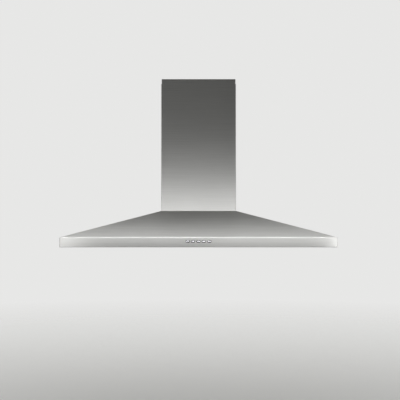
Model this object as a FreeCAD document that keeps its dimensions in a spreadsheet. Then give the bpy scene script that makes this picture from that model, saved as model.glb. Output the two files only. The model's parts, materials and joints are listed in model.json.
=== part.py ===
import FreeCAD, Part
import os
import re

import Sketcher
from FreeCAD import Placement, Rotation, Vector

# Wall mount range hood, 1200 mm wide: a low pyramid canopy under a telescopic chimney.
# Frame: wall plane at Y = 0, hood towards -Y, +Z up, origin at the foot of the back, on the wall.

# Driving sizes in millimetres: alias, value, what it measures
SIZES = [
    ("hood_width", 1200, "canopy, left to right"),
    ("hood_depth", 500, "canopy, wall to front"),
    ("rim_height", 42.5, "upright band round the canopy"),
    ("canopy_rise", 111.5, "height of the slopes above the band"),
    ("sheet_gauge", 1, "steel sheet"),
    ("slope_gauge", 1.2, "sloped sheet, measured upright"),
    ("fold_radius", 4, "fold between band and slopes"),
    ("return_width", 14, "inward return under the band"),
    ("return_height", 16, "top of the ledge behind the return"),
    ("ledge_width", 14, "ledge that the underpan hangs on"),
    ("fit_gap", 0.3, "gap round a loose fitting piece"),
    ("chimney_width", 340, "lower chimney, left to right"),
    ("chimney_depth", 280, "lower chimney, wall to front"),
    ("chimney_height", 577, "lower chimney"),
    ("chimney_bend", 2.5, "outside bend of the chimney corners"),
    ("chimney_flange", 16, "rear return of both chimneys"),
    ("sleeve_gap", 0.8, "gap between the two chimneys"),
    ("sleeve_lift", 28, "upper chimney above the clips"),
    ("sleeve_showing", 22, "upper chimney above the lower one"),
    ("bracket_height", 17, "wall strip of the upper chimney"),
    ("bracket_arm", 40, "side arm of that strip"),
    ("bracket_gauge", 1.5, "strip and chimney clip"),
    ("bracket_hole_pitch", 160, "wall holes of the strip"),
    ("bracket_hole_radius", 3, "wall holes of the strip"),
    ("clip_height", 34, "chimney clip on the canopy"),
    ("clip_length", 30, "chimney clip along the wall depth"),
    ("clip_inset", 30, "chimney clip from the wall"),
    ("screw_radius", 2, "shank of the sheet screws"),
    ("screw_head_radius", 4, "head of the sheet screws"),
    ("screw_head_height", 2, "head of the sheet screws"),
    ("screw_reach", 6, "shank past the sheet"),
    ("screw_gap", 0.2, "hole clearance round a shank"),
    ("hook_pitch", 500, "wall hooks, centre to centre"),
    ("hook_width", 50, "wall hook"),
    ("hook_height", 45, "wall hook"),
    ("hook_gauge", 3, "wall hook"),
    ("hook_level", 42, "foot of the wall hook"),
    ("hook_lip", 12, "lip that stops the canopy coming off"),
    ("hook_hole_radius", 4.25, "wall screw hole"),
    ("hook_window_gap", 2, "back panel window beside the hook"),
    ("pan_side", 120, "pan beside the outer filters, to the hood side"),
    ("pan_back", 70, "pan behind the filters, to the wall"),
    ("filter_thickness", 10, "grease filter"),
    ("filter_rail", 12, "filter frame rail"),
    ("filter_gap", 2, "gap beside and before a filter"),
    ("filter_rear_gap", 3, "gap behind a filter, for its swing"),
    ("filter_bar", 24, "pan between two filters"),
    ("mesh_gauge", 1, "each expanded sheet in a filter"),
    ("mesh_inset", 1.5, "expanded sheet from the frame faces"),
    ("pivot_inset", 6, "pivot pin from the filter's rear edge"),
    ("pivot_radius", 2, "pivot pin"),
    ("pivot_reach", 8, "pivot pin past the filter's side"),
    ("pivot_gap", 0.1, "pin clearance in its hook"),
    ("pivot_hook_gauge", 3, "hook that carries a pin"),
    ("pivot_hook_length", 14, "hook along the depth"),
    ("pivot_hook_cover", 3, "hook above the pin's middle"),
    ("pull_width", 60, "filter pull tab"),
    ("pull_drop", 10, "filter pull tab"),
    ("pull_gauge", 2, "filter pull tab"),
    ("pull_inset", 5, "pull tab from the filter's front"),
    ("leaf_width", 30, "leaf spring that grips a filter"),
    ("leaf_base", 12, "leaf spring foot on the pan"),
    ("lamp_inset", 270, "lamp centre from the hood side"),
    ("lamp_margin", 7.5, "pan before and behind a lamp housing"),
    ("lamp_radius", 30, "lamp hole in the pan"),
    ("lamp_flange", 6, "lamp ring past its hole"),
    ("lamp_ring_drop", 2, "lamp ring below the pan"),
    ("lamp_neck", 10, "lamp ring neck above the pan"),
    ("lamp_wall", 2.2, "lamp ring neck wall"),
    ("lens_thickness", 2, "lamp glass"),
    ("lens_seat", 3.5, "lip under the lamp glass"),
    ("can_height", 30, "lamp housing"),
    ("can_wall", 1.5, "lamp housing"),
    ("led_radius", 20, "light board"),
    ("led_thickness", 2.5, "light board"),
    ("key_count", 5, "push keys in the row"),
    ("key_bridge", 4.5, "band between two keys"),
    ("key_length", 15.6, "key face"),
    ("key_height", 7, "key face"),
    ("key_room", 3, "room above and below a key collar"),
    ("key_proud", 0.8, "key face before the band"),
    ("key_gap", 0.4, "gap round a key in its guide"),
    ("key_border", 1.6, "dark border round a key in the band"),
    ("key_edge", 0.5, "rounding of a key face"),
    ("key_collar", 1.5, "key collar round the cap"),
    ("key_collar_depth", 1.5, "key collar"),
    ("key_stem_radius", 2.5, "key stem"),
    ("key_travel", 2.5, "key stroke"),
    ("control_side", 11.75, "key housing beside the row"),
    ("control_depth", 18.5, "key housing"),
    ("control_wall", 1.2, "key housing"),
    ("board_thickness", 1.6, "key circuit board"),
    ("switch_size", 6, "tact switch"),
    ("switch_height", 3.5, "tact switch"),
    ("plunger_radius", 1.75, "tact switch plunger"),
    ("plunger_height", 1.5, "tact switch plunger"),
    ("blower_side_gap", 20, "blower box to the chimney side"),
    ("blower_front_gap", 25, "blower box to the chimney front"),
    ("blower_inset", 15, "blower box from the wall"),
    ("blower_flange", 10, "foot flange of the blower box"),
    ("scroll_gap", 12, "fan scroll to the blower box"),
    ("scroll_lift", 10, "fan scroll above the canopy top"),
    ("scroll_neck", 44, "outlet above the scroll"),
    ("scroll_width", 150, "fan scroll along the shaft"),
    ("scroll_wall", 2.5, "fan scroll"),
    ("scroll_inlet", 62, "inlet radius of the scroll"),
    ("wheel_radius", 76, "fan wheel"),
    ("wheel_length", 132, "fan wheel along the shaft"),
    ("wheel_disc", 2, "middle disc and end rings of the wheel"),
    ("blade_depth", 13, "fan blade, inner to outer edge"),
    ("blade_gauge", 1.2, "fan blade"),
    ("blade_count", 36, "fan blades"),
    ("hub_radius", 12, "wheel hub"),
    ("hub_length", 16, "wheel hub"),
    ("shaft_radius", 4, "motor shaft"),
    ("motor_radius", 46, "motor can"),
    ("motor_length", 56, "motor can"),
    ("motor_wall", 2, "motor can"),
    ("motor_offset", 10, "motor can from the wheel's middle"),
    ("bearing_radius", 9, "motor bearing"),
    ("bearing_width", 6, "motor bearing"),
    ("bearing_gap", 0.05, "shaft clearance in its bearings"),
    ("stator_depth", 14, "stator ring"),
    ("rotor_gap", 0.5, "air gap between stator and rotor"),
    ("rotor_length", 32, "rotor"),
    ("spider_gauge", 2, "motor carrier"),
    ("spider_hub", 20, "motor carrier middle"),
    ("spider_ring", 8, "motor carrier rim width"),
    ("spider_arm", 14, "motor carrier arm width"),
    ("duct_radius", 74, "outside of the duct spigot"),
    ("duct_wall", 2.5, "duct spigot"),
    ("duct_length", 60, "duct spigot"),
    ("duct_flange", 16, "foot flange of the spigot"),
    ("duct_flange_gauge", 2, "foot flange of the spigot"),
    ("duct_lip", 1.5, "blower box lip inside the spigot"),
    ("damper_level", 20, "damper pin above the blower box"),
    ("damper_pin_radius", 1.5, "damper pin"),
    ("damper_gauge", 1.4, "damper flap"),
    ("damper_gap", 1, "flap edge to the spigot"),
    ("damper_root", 5, "flap plate from the pin"),
    ("damper_knuckle", 3.2, "knuckle round the pin"),
    ("damper_pin_gap", 0.1, "pin clearance in a knuckle"),
    ("damper_knuckle_length", 28, "knuckle along the pin"),
    ("damper_stop", 4.5, "stop ring inside the spigot"),
    ("terminal_gap", 8, "terminal box to the spigot flange"),
    ("terminal_length", 130, "terminal box"),
    ("terminal_height", 35, "terminal box"),
    ("terminal_wall", 2, "terminal box"),
    ("terminal_inset", 4, "terminal box from the blower side"),
    ("gland_radius", 8, "cable gland"),
    ("gland_length", 18, "cable gland"),
    ("gland_bore", 4, "cable passage"),
    ("capacitor_radius", 18, "run capacitor"),
    ("capacitor_height", 60, "run capacitor"),
    ("capacitor_inset", 28, "capacitor centre from two blower sides"),
    ("driver_width", 100, "light driver"),
    ("driver_depth", 25, "light driver"),
    ("driver_height", 22, "light driver"),
    ("driver_inset", 120, "light driver from the hood side"),
    ("driver_level", 24, "light driver above the band's foot"),
    ("panel_flange", 20, "forward flange of the back panel"),
]

# Sizes that follow from the driving ones
DERIVED = {
    "half_width": "hood_width / 2",
    "half_chimney": "chimney_width / 2",
    "canopy_top": "rim_height + canopy_rise",
    "pan_top": "return_height - sheet_gauge",
    "pan_bottom": "pan_top - sheet_gauge",
    "panel_front": "sheet_gauge",
    "lip_outer": "return_width - sheet_gauge",
    "chimney_top": "canopy_top + chimney_height",
    "sleeve_top": "chimney_top + sleeve_showing",
    "sleeve_height": "chimney_height + sleeve_showing - clip_height - sleeve_lift",
    "sleeve_bottom": "sleeve_top - sleeve_height",
    "sleeve_half": "half_chimney - sheet_gauge - sleeve_gap",
    "sleeve_front": "chimney_depth - sheet_gauge - sleeve_gap",
    "sleeve_back": "sheet_gauge + sleeve_gap",
    "bracket_level": "sleeve_top - fit_gap - bracket_height",
    "opening_width": "(hood_width - 2 * pan_side - 2 * filter_bar) / 3",
    "opening_front": "hood_depth - return_width - ledge_width - 2 * (lamp_margin + can_radius)",
    "opening_length": "opening_front - pan_back",
    "filter_width": "opening_width - 2 * filter_gap",
    "filter_length": "opening_length - filter_gap - filter_rear_gap",
    "filter_pitch": "opening_width + filter_bar",
    "filter_front": "opening_front - filter_gap",
    "filter_back": "filter_front - filter_length",
    "pivot_y": "filter_back + pivot_inset",
    "pivot_z": "pan_bottom + filter_thickness / 2",
    "lamp_x": "half_width - lamp_inset",
    "lamp_y": "hood_depth - return_width - ledge_width - lamp_margin - can_radius",
    "driver_x": "half_width - driver_inset - driver_width",
    "blower_width": "chimney_width - 2 * blower_side_gap",
    "blower_depth": "chimney_depth - blower_inset - blower_front_gap",
    "scroll_radius": "blower_depth / 2 - scroll_gap",
    "fan_axis_height": "scroll_radius + scroll_lift",
    "blower_height": "fan_axis_height + scroll_radius + scroll_neck",
    "duct_throat": "duct_bore - duct_lip",
    "scroll_tongue": "duct_throat + scroll_wall + fit_gap",
    "blower_middle": "blower_inset + blower_depth / 2",
    "blower_top": "canopy_top + blower_height",
    "fan_z": "canopy_top + fan_axis_height",
    "motor_near": "motor_offset",
    "motor_far": "motor_offset + motor_length",
    "spider_near": "scroll_width / 2",
    "stator_outer": "motor_radius - motor_wall",
    "rotor_outer": "stator_outer - stator_depth - rotor_gap",
    "rotor_near": "motor_offset + (motor_length - rotor_length) / 2",
    "damper_z": "blower_top + damper_level",
    "duct_bore": "duct_radius - duct_wall",
    "flap_radius": "duct_bore - damper_gap",
    "key_pitch": "key_length + 2 * key_border + key_bridge",
    "control_width": "key_count * key_pitch + 2 * control_side",
    "control_height": "key_height + 2 * (key_collar + control_wall + key_room)",
    "key_level": "return_height + control_height / 2",
    "control_front": "hood_depth - sheet_gauge",
    "control_back": "control_front - control_depth",
    "key_hole_length": "key_length + 2 * key_gap",
    "key_hole_height": "key_height + 2 * key_gap",
    "collar_front": "control_front - control_wall - key_gap / 2",
    "collar_back": "collar_front - key_collar_depth",
    "plunger_front": "control_back + switch_height + plunger_height",
    "stem_back": "plunger_front + key_travel + fit_gap",
    "hook_top": "hook_level + hook_height",
    "terminal_x": "duct_radius + duct_flange + terminal_gap",
    "terminal_width": "blower_width / 2 - terminal_inset - terminal_x",
    "terminal_y": "blower_middle - terminal_length / 2",
    "gland_x": "terminal_x + terminal_width / 2",
    "gland_z": "blower_top + terminal_height / 2",
    "can_radius": "lamp_radius + lamp_flange",
    "lens_radius": "lamp_radius - fit_gap - lamp_wall",
}

FILTER_NAMES = ["left", "middle", "right"]
SIDES = [("left", -1), ("right", 1)]

doc = FreeCAD.newDocument("RangeHood")
sheet = doc.addObject("Spreadsheet::Sheet", "Sizes")
for row, (alias, number, note) in enumerate(SIZES, start=1):
    sheet.set(f"A{row}", note)
    sheet.set(f"B{row}", str(number))
    sheet.setAlias(f"B{row}", alias)
doc.recompute()
ALIASES = {alias for alias, _, _ in SIZES}
published = []


# Expressions and placing


def bound(text):
    # Writes derived names out and points every driving name at its cell
    def swap(match):
        word = match.group(0)
        if word in DERIVED:
            return f"({bound(DERIVED[word])})"
        return f"Sizes.{word}" if word in ALIASES else word

    return re.sub(r"[a-z_]+", swap, str(text))


def size(alias):
    return float(sheet.get(alias))


def bind(obj, **expressions):
    for name, text in expressions.items():
        obj.setExpression(name, bound(text))
    return obj


def place(obj, at, turn=None):
    if turn is not None:
        obj.Placement = Placement(Vector(), turn)
    for axis, text in zip("xyz", at):
        obj.setExpression(f"Placement.Base.{axis}", bound(text))
    return obj


def publish(obj, label):
    obj.Label = label
    published.append(obj)
    return obj


# Primitives: every length and place is an expression of the sheet


def box(name, lengths, corner):
    made = doc.addObject("Part::Box", name)
    bind(made, Length=lengths[0], Width=lengths[1], Height=lengths[2])
    return place(made, corner)


TURNS = {
    "X": Rotation(Vector(0, 1, 0), 90),
    "Y": Rotation(Vector(1, 0, 0), -90),
    "Z": Rotation(),
}


def rod(name, radius, length, base, axis="Z"):
    made = doc.addObject("Part::Cylinder", name)
    bind(made, Radius=radius, Height=length)
    return place(made, base, TURNS[axis])


def wedge(name, foot, top, heights):
    # A frustum: foot and top are (left, right, back, front) as distances from the wall, heights (low, high)
    made = doc.addObject("Part::Wedge", name)
    bind(made, Xmin=foot[0], Xmax=foot[1], Zmin=foot[2], Zmax=foot[3])
    bind(made, X2min=top[0], X2max=top[1], Z2min=top[2], Z2max=top[3])
    bind(made, Ymin=heights[0], Ymax=heights[1])
    made.Placement = Placement(Vector(), Rotation(Vector(1, 0, 0), 90))
    return made


def fuse(name, *shapes):
    made = doc.addObject("Part::MultiFuse", name)
    made.Shapes = list(shapes)
    made.Refine = True
    return made


def cut(name, base, *tools):
    made = doc.addObject("Part::Cut", name)
    made.Base = base
    made.Tool = tools[0] if len(tools) == 1 else fuse(name + "Tools", *tools)
    made.Refine = True
    return made


def common(name, *shapes):
    made = doc.addObject("Part::MultiCommon", name)
    made.Shapes = list(shapes)
    made.Refine = True
    return made


def group(name, *shapes):
    made = doc.addObject("Part::Compound", name)
    made.Links = list(shapes)
    return made


def pill(name, length, height, depth, centre):
    # An upright slot shape that runs back from its front face; centre is (x, y of the back face, z)
    x, y, z = centre
    straight = f"(({length}) - ({height}))"
    radius = f"({height}) / 2"
    ends = [
        rod(f"{name}End{mark}", radius, depth, (f"{x} {sign} {straight} / 2", y, z), "Y")
        for mark, sign in (("A", "-"), ("B", "+"))
    ]
    middle = box(
        f"{name}Middle",
        (straight, depth, height),
        (f"{x} - {straight} / 2", y, f"{z} - {radius}"),
    )
    return fuse(name, middle, *ends)


def rounded(name, base, radius, picks):
    # Rounds the edges of base whose middle point passes picks
    doc.recompute()
    made = doc.addObject("Part::Fillet", name)
    made.Base = base
    made.Edges = [
        (number, radius, radius)
        for number, edge in enumerate(base.Shape.Edges, start=1)
        if picks(edge)
    ]
    return made


def middle_of(edge):
    first, last = edge.ParameterRange
    return edge.valueAt((first + last) / 2)


def near(a, b):
    return abs(a - b) < 0.05


# Turned pieces: a closed profile of (radius, height) corners revolved about the body's own Z


def plane_of(body, role):
    return next(item for item in body.Origin.OriginFeatures if item.Role == role)


def profile_sketch(body, name, role, corners):
    sketch = body.newObject("Sketcher::SketchObject", name)
    sketch.AttachmentSupport = [(plane_of(body, role), "")]
    sketch.MapMode = "FlatFace"
    count = len(corners)
    spread = [Vector(i + 1, i * i + 1, 0) for i in range(count)]
    for i in range(count):
        sketch.addGeometry(Part.LineSegment(spread[i], spread[(i + 1) % count]))
    for i in range(count):
        sketch.addConstraint(Sketcher.Constraint("Coincident", i, 2, (i + 1) % count, 1))
    for i, (across, up) in enumerate(corners):
        for kind, text in (("DistanceX", across), ("DistanceY", up)):
            index = sketch.addConstraint(Sketcher.Constraint(kind, -1, 1, i, 1, float(i + 1)))
            sketch.setExpression(f"Constraints[{index}]", bound(text))
    return sketch


def turned(name, corners, at, axis="Z"):
    body = doc.addObject("PartDesign::Body", name)
    sketch = profile_sketch(body, name + "Profile", "XZ_Plane", corners)
    turning = body.newObject("PartDesign::Revolution", name + "Turning")
    turning.Profile = sketch
    turning.ReferenceAxis = (sketch, ["V_Axis"])
    turning.Angle = 360
    return place(body, at, TURNS[axis])


# Canopy: band, slopes, top plate and the folded return under the band


def screw_spots():
    # Screws that hold the underpan up to the ledge: (x, y)
    front = "-(hood_depth - return_width - ledge_width / 2)"
    back = "-(panel_flange / 2 + sheet_gauge)"
    side = "half_width - return_width - ledge_width / 2"
    spots = [(f"{place_} * hood_width", front) for place_ in (-0.4, -0.15, 0.15, 0.4)]
    spots += [(f"{place_} * hood_width", back) for place_ in (-0.4, 0, 0.4)]
    spots += [(f"{sign} * ({side})", f"-{share} * hood_depth") for sign in (-1, 1) for share in (0.25, 0.6)]
    return spots


def canopy_shell():
    foot = ("-half_width", "half_width", "0", "hood_depth")
    top = ("-half_chimney", "half_chimney", "0", "chimney_depth")
    width, depth, rim = size("hood_width"), size("hood_depth"), size("rim_height")

    def folded_run(name, slope_foot, slope_top, picks):
        # The band and the slopes of one direction as one long block, its fold rounded
        low = box(
            f"{name}Band", ("hood_width", "hood_depth", "rim_height"), ("-half_width", "-hood_depth", "0")
        )
        high = wedge(f"{name}Slope", slope_foot, slope_top, ("rim_height", "canopy_top"))
        return rounded(f"{name}Fold", fuse(f"{name}Block", low, high), size("fold_radius"), picks)

    def at_front_fold(edge):
        point = middle_of(edge)
        return near(point.z, rim) and near(point.y, -depth)

    def at_side_folds(edge):
        point = middle_of(edge)
        return near(point.z, rim) and near(abs(point.x), width / 2)

    front_run = folded_run("Front", foot, foot[:2] + top[2:], at_front_fold)
    side_run = folded_run("Side", foot, top[:2] + foot[2:], at_side_folds)
    skin = common("CanopyBlock", front_run, side_run)
    hollow_band = box(
        "BandHollow",
        ("hood_width - 2 * sheet_gauge", "hood_depth", "rim_height - slope_gauge + return_height"),
        ("-half_width + sheet_gauge", "-hood_depth + sheet_gauge", "-return_height"),
    )
    inner = [f"{text} + sheet_gauge * {lean}" for text, lean in zip(foot, (1, -1, -1, -1))]
    hollow_slopes = wedge(
        "SlopesHollow", inner, top, ("rim_height - slope_gauge", "canopy_top - slope_gauge")
    )
    hollow_back = box(
        "BackHollow",
        ("chimney_width", "2 * sheet_gauge", "canopy_rise"),
        ("-half_chimney", "-sheet_gauge", "rim_height - slope_gauge"),
    )
    inlet = box(
        "TopPlateHole",
        ("blower_width - 2 * sheet_gauge", "blower_depth - 2 * sheet_gauge", "canopy_rise"),
        ("-blower_width / 2 + sheet_gauge", "-blower_inset - blower_depth + sheet_gauge", "rim_height"),
    )
    shell = cut("CanopySkin", skin, hollow_band, hollow_slopes, hollow_back, inlet)
    return_back = "sheet_gauge + fit_gap"

    def tray(name, inset, low, high):
        # A block under the canopy, inset from the band on three sides and open to the back
        back = return_back if low == "0" and inset == "sheet_gauge" else "-sheet_gauge"
        return box(
            name,
            (f"hood_width - 2 * ({inset})", f"hood_depth - ({inset}) - ({back})", f"{high} - ({low})"),
            (f"-half_width + ({inset})", f"-hood_depth + ({inset})", low),
        )

    solid_return = tray("ReturnBlock", "sheet_gauge", "0", "return_height")
    outer_trough = cut(
        "ReturnTrough",
        tray("TroughOuter", "0", "sheet_gauge", "2 * return_height"),
        tray("TroughInner", "lip_outer", "0", "3 * return_height"),
    )
    under_ledge = tray("UnderLedge", "return_width", "-sheet_gauge", "pan_top")
    ledge_opening = tray(
        "LedgeOpening", "return_width + ledge_width", "-2 * sheet_gauge", "2 * return_height"
    )
    folded_return = cut("FoldedReturn", solid_return, outer_trough, under_ledge, ledge_opening)
    holes = [
        rod(f"LedgeHole{i}", "screw_radius + screw_gap", "3 * sheet_gauge", (x, y, "pan_top - sheet_gauge"))
        for i, (x, y) in enumerate(screw_spots())
    ]
    key_holes = [
        pill(
            f"BandKeyHole{i}",
            "key_length + 2 * key_border",
            "key_height + 2 * key_border",
            "4 * sheet_gauge",
            (x, "-hood_depth - sheet_gauge", "key_level"),
        )
        for i, x in enumerate(key_places())
    ]
    whole = fuse("CanopyWhole", shell, folded_return)
    publish(cut("Canopy", whole, *holes, *key_holes), "canopy_shell")


def back_panel():
    edge = "half_width - sheet_gauge - fit_gap"
    top_edge = "half_chimney - sheet_gauge - fit_gap"
    low = box(
        "PanelLow",
        (f"2 * ({edge})", "sheet_gauge", "rim_height - slope_gauge"),
        (f"-({edge})", "-sheet_gauge", "0"),
    )
    high = wedge(
        "PanelHigh",
        (f"-({edge})", edge, "0", "sheet_gauge"),
        (f"-({top_edge})", top_edge, "0", "sheet_gauge"),
        ("rim_height - slope_gauge", "canopy_top - slope_gauge"),
    )
    flange = box(
        "PanelFlange",
        ("hood_width - 2 * (return_width + ledge_width + fit_gap)", "panel_flange", "sheet_gauge"),
        ("-half_width + return_width + ledge_width + fit_gap", "-panel_flange - sheet_gauge", "pan_top"),
    )
    windows = [
        box(
            f"HookWindow{side}",
            ("hook_width + 2 * hook_window_gap", "4 * sheet_gauge", "hook_height + hook_window_gap"),
            (
                f"{sign} * hook_pitch / 2 - hook_width / 2 - hook_window_gap",
                "-2 * sheet_gauge",
                "hook_level - hook_window_gap",
            ),
        )
        for side, sign in SIDES
    ]
    holes = [
        rod(f"FlangeHole{i}", "screw_radius + screw_gap", "3 * sheet_gauge", (x, y, "pan_top - sheet_gauge"))
        for i, (x, y) in enumerate(screw_spots())
    ]
    publish(cut("BackPanel", fuse("PanelWhole", low, high, flange), *windows, *holes), "back_panel")


def wall_hooks():
    hooks = []
    for side, sign in SIDES:
        left = f"{sign} * hook_pitch / 2 - hook_width / 2"
        plate = box(
            f"HookPlate{side}",
            ("hook_width", "hook_gauge", "hook_height"),
            (left, "-hook_gauge", "hook_level"),
        )
        shelf = box(
            f"HookShelf{side}",
            ("hook_width", "hook_gauge + fit_gap", "hook_gauge"),
            (left, "-2 * hook_gauge - fit_gap", "hook_top - hook_gauge"),
        )
        lip = box(
            f"HookLip{side}",
            ("hook_width", "hook_gauge", "hook_lip + hook_gauge"),
            (left, "-2 * hook_gauge - fit_gap", "hook_top - hook_gauge"),
        )
        hole = rod(
            f"HookHole{side}",
            "hook_hole_radius",
            "4 * hook_gauge",
            (f"{sign} * hook_pitch / 2", "-3 * hook_gauge", "hook_level + hook_height / 2"),
            "Y",
        )
        hooks.append(cut(f"Hook{side}", fuse(f"HookWhole{side}", plate, shelf, lip), hole))
    publish(group("WallHooks", *hooks), "wall_hooks")


# Chimneys: two U shaped covers, one sliding in the other, open at the wall


def chimney_cover(name, half, front, back, low, height, bend):
    block = box(
        f"{name}Block",
        (f"2 * ({half})", f"({front}) - ({back})", height),
        (f"-({half})", f"-({front})", low),
    )
    doc.recompute()
    face = block.Shape.BoundBox.YMin
    outside = rounded(
        f"{name}Bends",
        block,
        bend,
        lambda edge: near(middle_of(edge).y, face) and near(edge.Vertexes[0].X, edge.Vertexes[-1].X),
    )
    hollow = box(
        f"{name}Hollow",
        (
            f"2 * ({half}) - 2 * sheet_gauge",
            f"({front}) - ({back}) - 2 * sheet_gauge",
            f"{height} + 2 * sheet_gauge",
        ),
        (f"-({half}) + sheet_gauge", f"-({front}) + sheet_gauge", f"({low}) - sheet_gauge"),
    )
    slot = box(
        f"{name}Slot",
        (f"2 * ({half}) - 2 * chimney_flange", "4 * sheet_gauge", f"{height} + 2 * sheet_gauge"),
        (f"-({half}) + chimney_flange", f"-({back}) - 2 * sheet_gauge", f"({low}) - sheet_gauge"),
    )
    return outside, hollow, slot


def lower_chimney():
    outside, hollow, slot = chimney_cover(
        "Lower", "half_chimney", "chimney_depth", "0", "canopy_top", "chimney_height", size("chimney_bend")
    )
    holes = rod(
        "LowerScrewHoles",
        "screw_radius + screw_gap",
        "2 * chimney_width",
        ("-chimney_width", "-clip_inset - clip_length / 2", "canopy_top + 0.6 * clip_height"),
        "X",
    )
    publish(cut("LowerChimney", outside, hollow, slot, holes), "chimney_lower")
    clips, screws = [], []
    for side, sign in SIDES:
        inner = "half_chimney - sheet_gauge"
        foot_width = f"({inner} - blower_width / 2 - blower_flange - fit_gap)"
        upright = box(
            f"ClipUpright{side}",
            ("bracket_gauge", "clip_length", "clip_height"),
            (
                f"{sign} * ({inner} - bracket_gauge / 2) - bracket_gauge / 2",
                "-clip_inset - clip_length",
                "canopy_top",
            ),
        )
        foot = box(
            f"ClipFoot{side}",
            (foot_width, "clip_length", "bracket_gauge"),
            (
                f"{sign} * ({inner} - {foot_width} / 2) - {foot_width} / 2",
                "-clip_inset - clip_length",
                "canopy_top",
            ),
        )
        clips.append(cut(f"Clip{side}", fuse(f"ClipWhole{side}", upright, foot), holes))
        screws.append(
            side_screw(
                f"LowerScrew{side}",
                sign,
                "half_chimney",
                "clip_inset + clip_length / 2",
                "canopy_top + 0.6 * clip_height",
            ),
        )
    publish(group("ChimneyClips", *clips), "chimney_clips")
    publish(group("LowerScrews", *screws), "lower_chimney_screws")


def side_screw(name, sign, wall, inset, level):
    # A screw through a chimney side: head outside, shank inwards
    head = rod(
        f"{name}Head",
        "screw_head_radius",
        "screw_head_height",
        (f"{sign} * ({wall} + screw_head_height / 2) - screw_head_height / 2", f"-({inset})", level),
        "X",
    )
    shank = rod(
        f"{name}Shank",
        "screw_radius",
        "screw_reach",
        (f"{sign} * ({wall} - screw_reach / 2) - screw_reach / 2", f"-({inset})", level),
        "X",
    )
    return fuse(name, head, shank)


def upper_chimney():
    outside, hollow, slot = chimney_cover(
        "Upper",
        "sleeve_half",
        "sleeve_front",
        "sleeve_back",
        "sleeve_bottom",
        "sleeve_height",
        size("chimney_bend"),
    )
    bracket_room = box(
        "BracketRoom",
        ("2 * (sleeve_half - sheet_gauge)", "4 * sheet_gauge", "2 * sleeve_showing"),
        ("-sleeve_half + sheet_gauge", "-sleeve_back - 2 * sheet_gauge", "chimney_top"),
    )
    level = "bracket_level + bracket_height / 2"
    holes = rod(
        "UpperScrewHoles",
        "screw_radius + screw_gap",
        "2 * chimney_width",
        ("-chimney_width", "-0.6 * bracket_arm", level),
        "X",
    )
    publish(cut("UpperChimney", outside, hollow, slot, bracket_room, holes), "chimney_upper")
    inner = "sleeve_half - sheet_gauge"
    strip = box(
        "Strip",
        (f"2 * ({inner})", "bracket_gauge", "bracket_height"),
        (f"-({inner})", "-bracket_gauge", "bracket_level"),
    )
    arms = [
        box(
            f"StripArm{side}",
            ("bracket_gauge", "bracket_arm", "bracket_height"),
            (f"{sign} * ({inner} - bracket_gauge / 2) - bracket_gauge / 2", "-bracket_arm", "bracket_level"),
        )
        for side, sign in SIDES
    ]
    wall_holes = [
        rod(
            f"StripHole{side}",
            "bracket_hole_radius",
            "4 * bracket_gauge",
            (f"{sign} * bracket_hole_pitch / 2", "-2 * bracket_gauge", level),
            "Y",
        )
        for side, sign in SIDES
    ]
    publish(cut("UpperBracket", fuse("StripWhole", strip, *arms), *wall_holes, holes), "upper_bracket")
    screws = [
        side_screw(f"UpperScrew{side}", sign, "sleeve_half", "0.6 * bracket_arm", level)
        for side, sign in SIDES
    ]
    publish(group("UpperScrews", *screws), "upper_bracket_screws")


# Underside: pan, grease filters with their hooks and springs, lamps


def filter_middles():
    return [f"{place_} * filter_pitch" for place_ in (-1, 0, 1)]


def underpan():
    side = "half_width - return_width - fit_gap"
    sheet_ = box(
        "PanSheet",
        (f"2 * ({side})", "hood_depth - return_width - 2 * fit_gap - sheet_gauge", "sheet_gauge"),
        (f"-({side})", "-hood_depth + return_width + fit_gap", "pan_bottom"),
    )
    openings = [
        box(
            f"FilterOpening{i}",
            ("opening_width", "opening_length", "4 * sheet_gauge"),
            (f"{x} - opening_width / 2", "-opening_front", "pan_bottom - sheet_gauge"),
        )
        for i, x in enumerate(filter_middles())
    ]
    lamps = [
        rod(
            f"LampHole{side_}",
            "lamp_radius",
            "4 * sheet_gauge",
            (f"{sign} * lamp_x", "-lamp_y", "pan_bottom - sheet_gauge"),
        )
        for side_, sign in SIDES
    ]
    holes = [
        rod(f"PanHole{i}", "screw_radius + screw_gap", "4 * sheet_gauge", (x, y, "pan_bottom - sheet_gauge"))
        for i, (x, y) in enumerate(screw_spots())
    ]
    publish(cut("Underpan", sheet_, *openings, *lamps, *holes), "underpan")
    screws = []
    for i, (x, y) in enumerate(screw_spots()):
        head = rod(
            f"PanScrewHead{i}",
            "screw_head_radius",
            "screw_head_height",
            (x, y, "pan_bottom - screw_head_height"),
        )
        shank = rod(f"PanScrewShank{i}", "screw_radius", "screw_reach", (x, y, "pan_bottom"))
        screws.append(fuse(f"PanScrew{i}", head, shank))
    publish(group("PanScrews", *screws), "underpan_screws")


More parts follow.
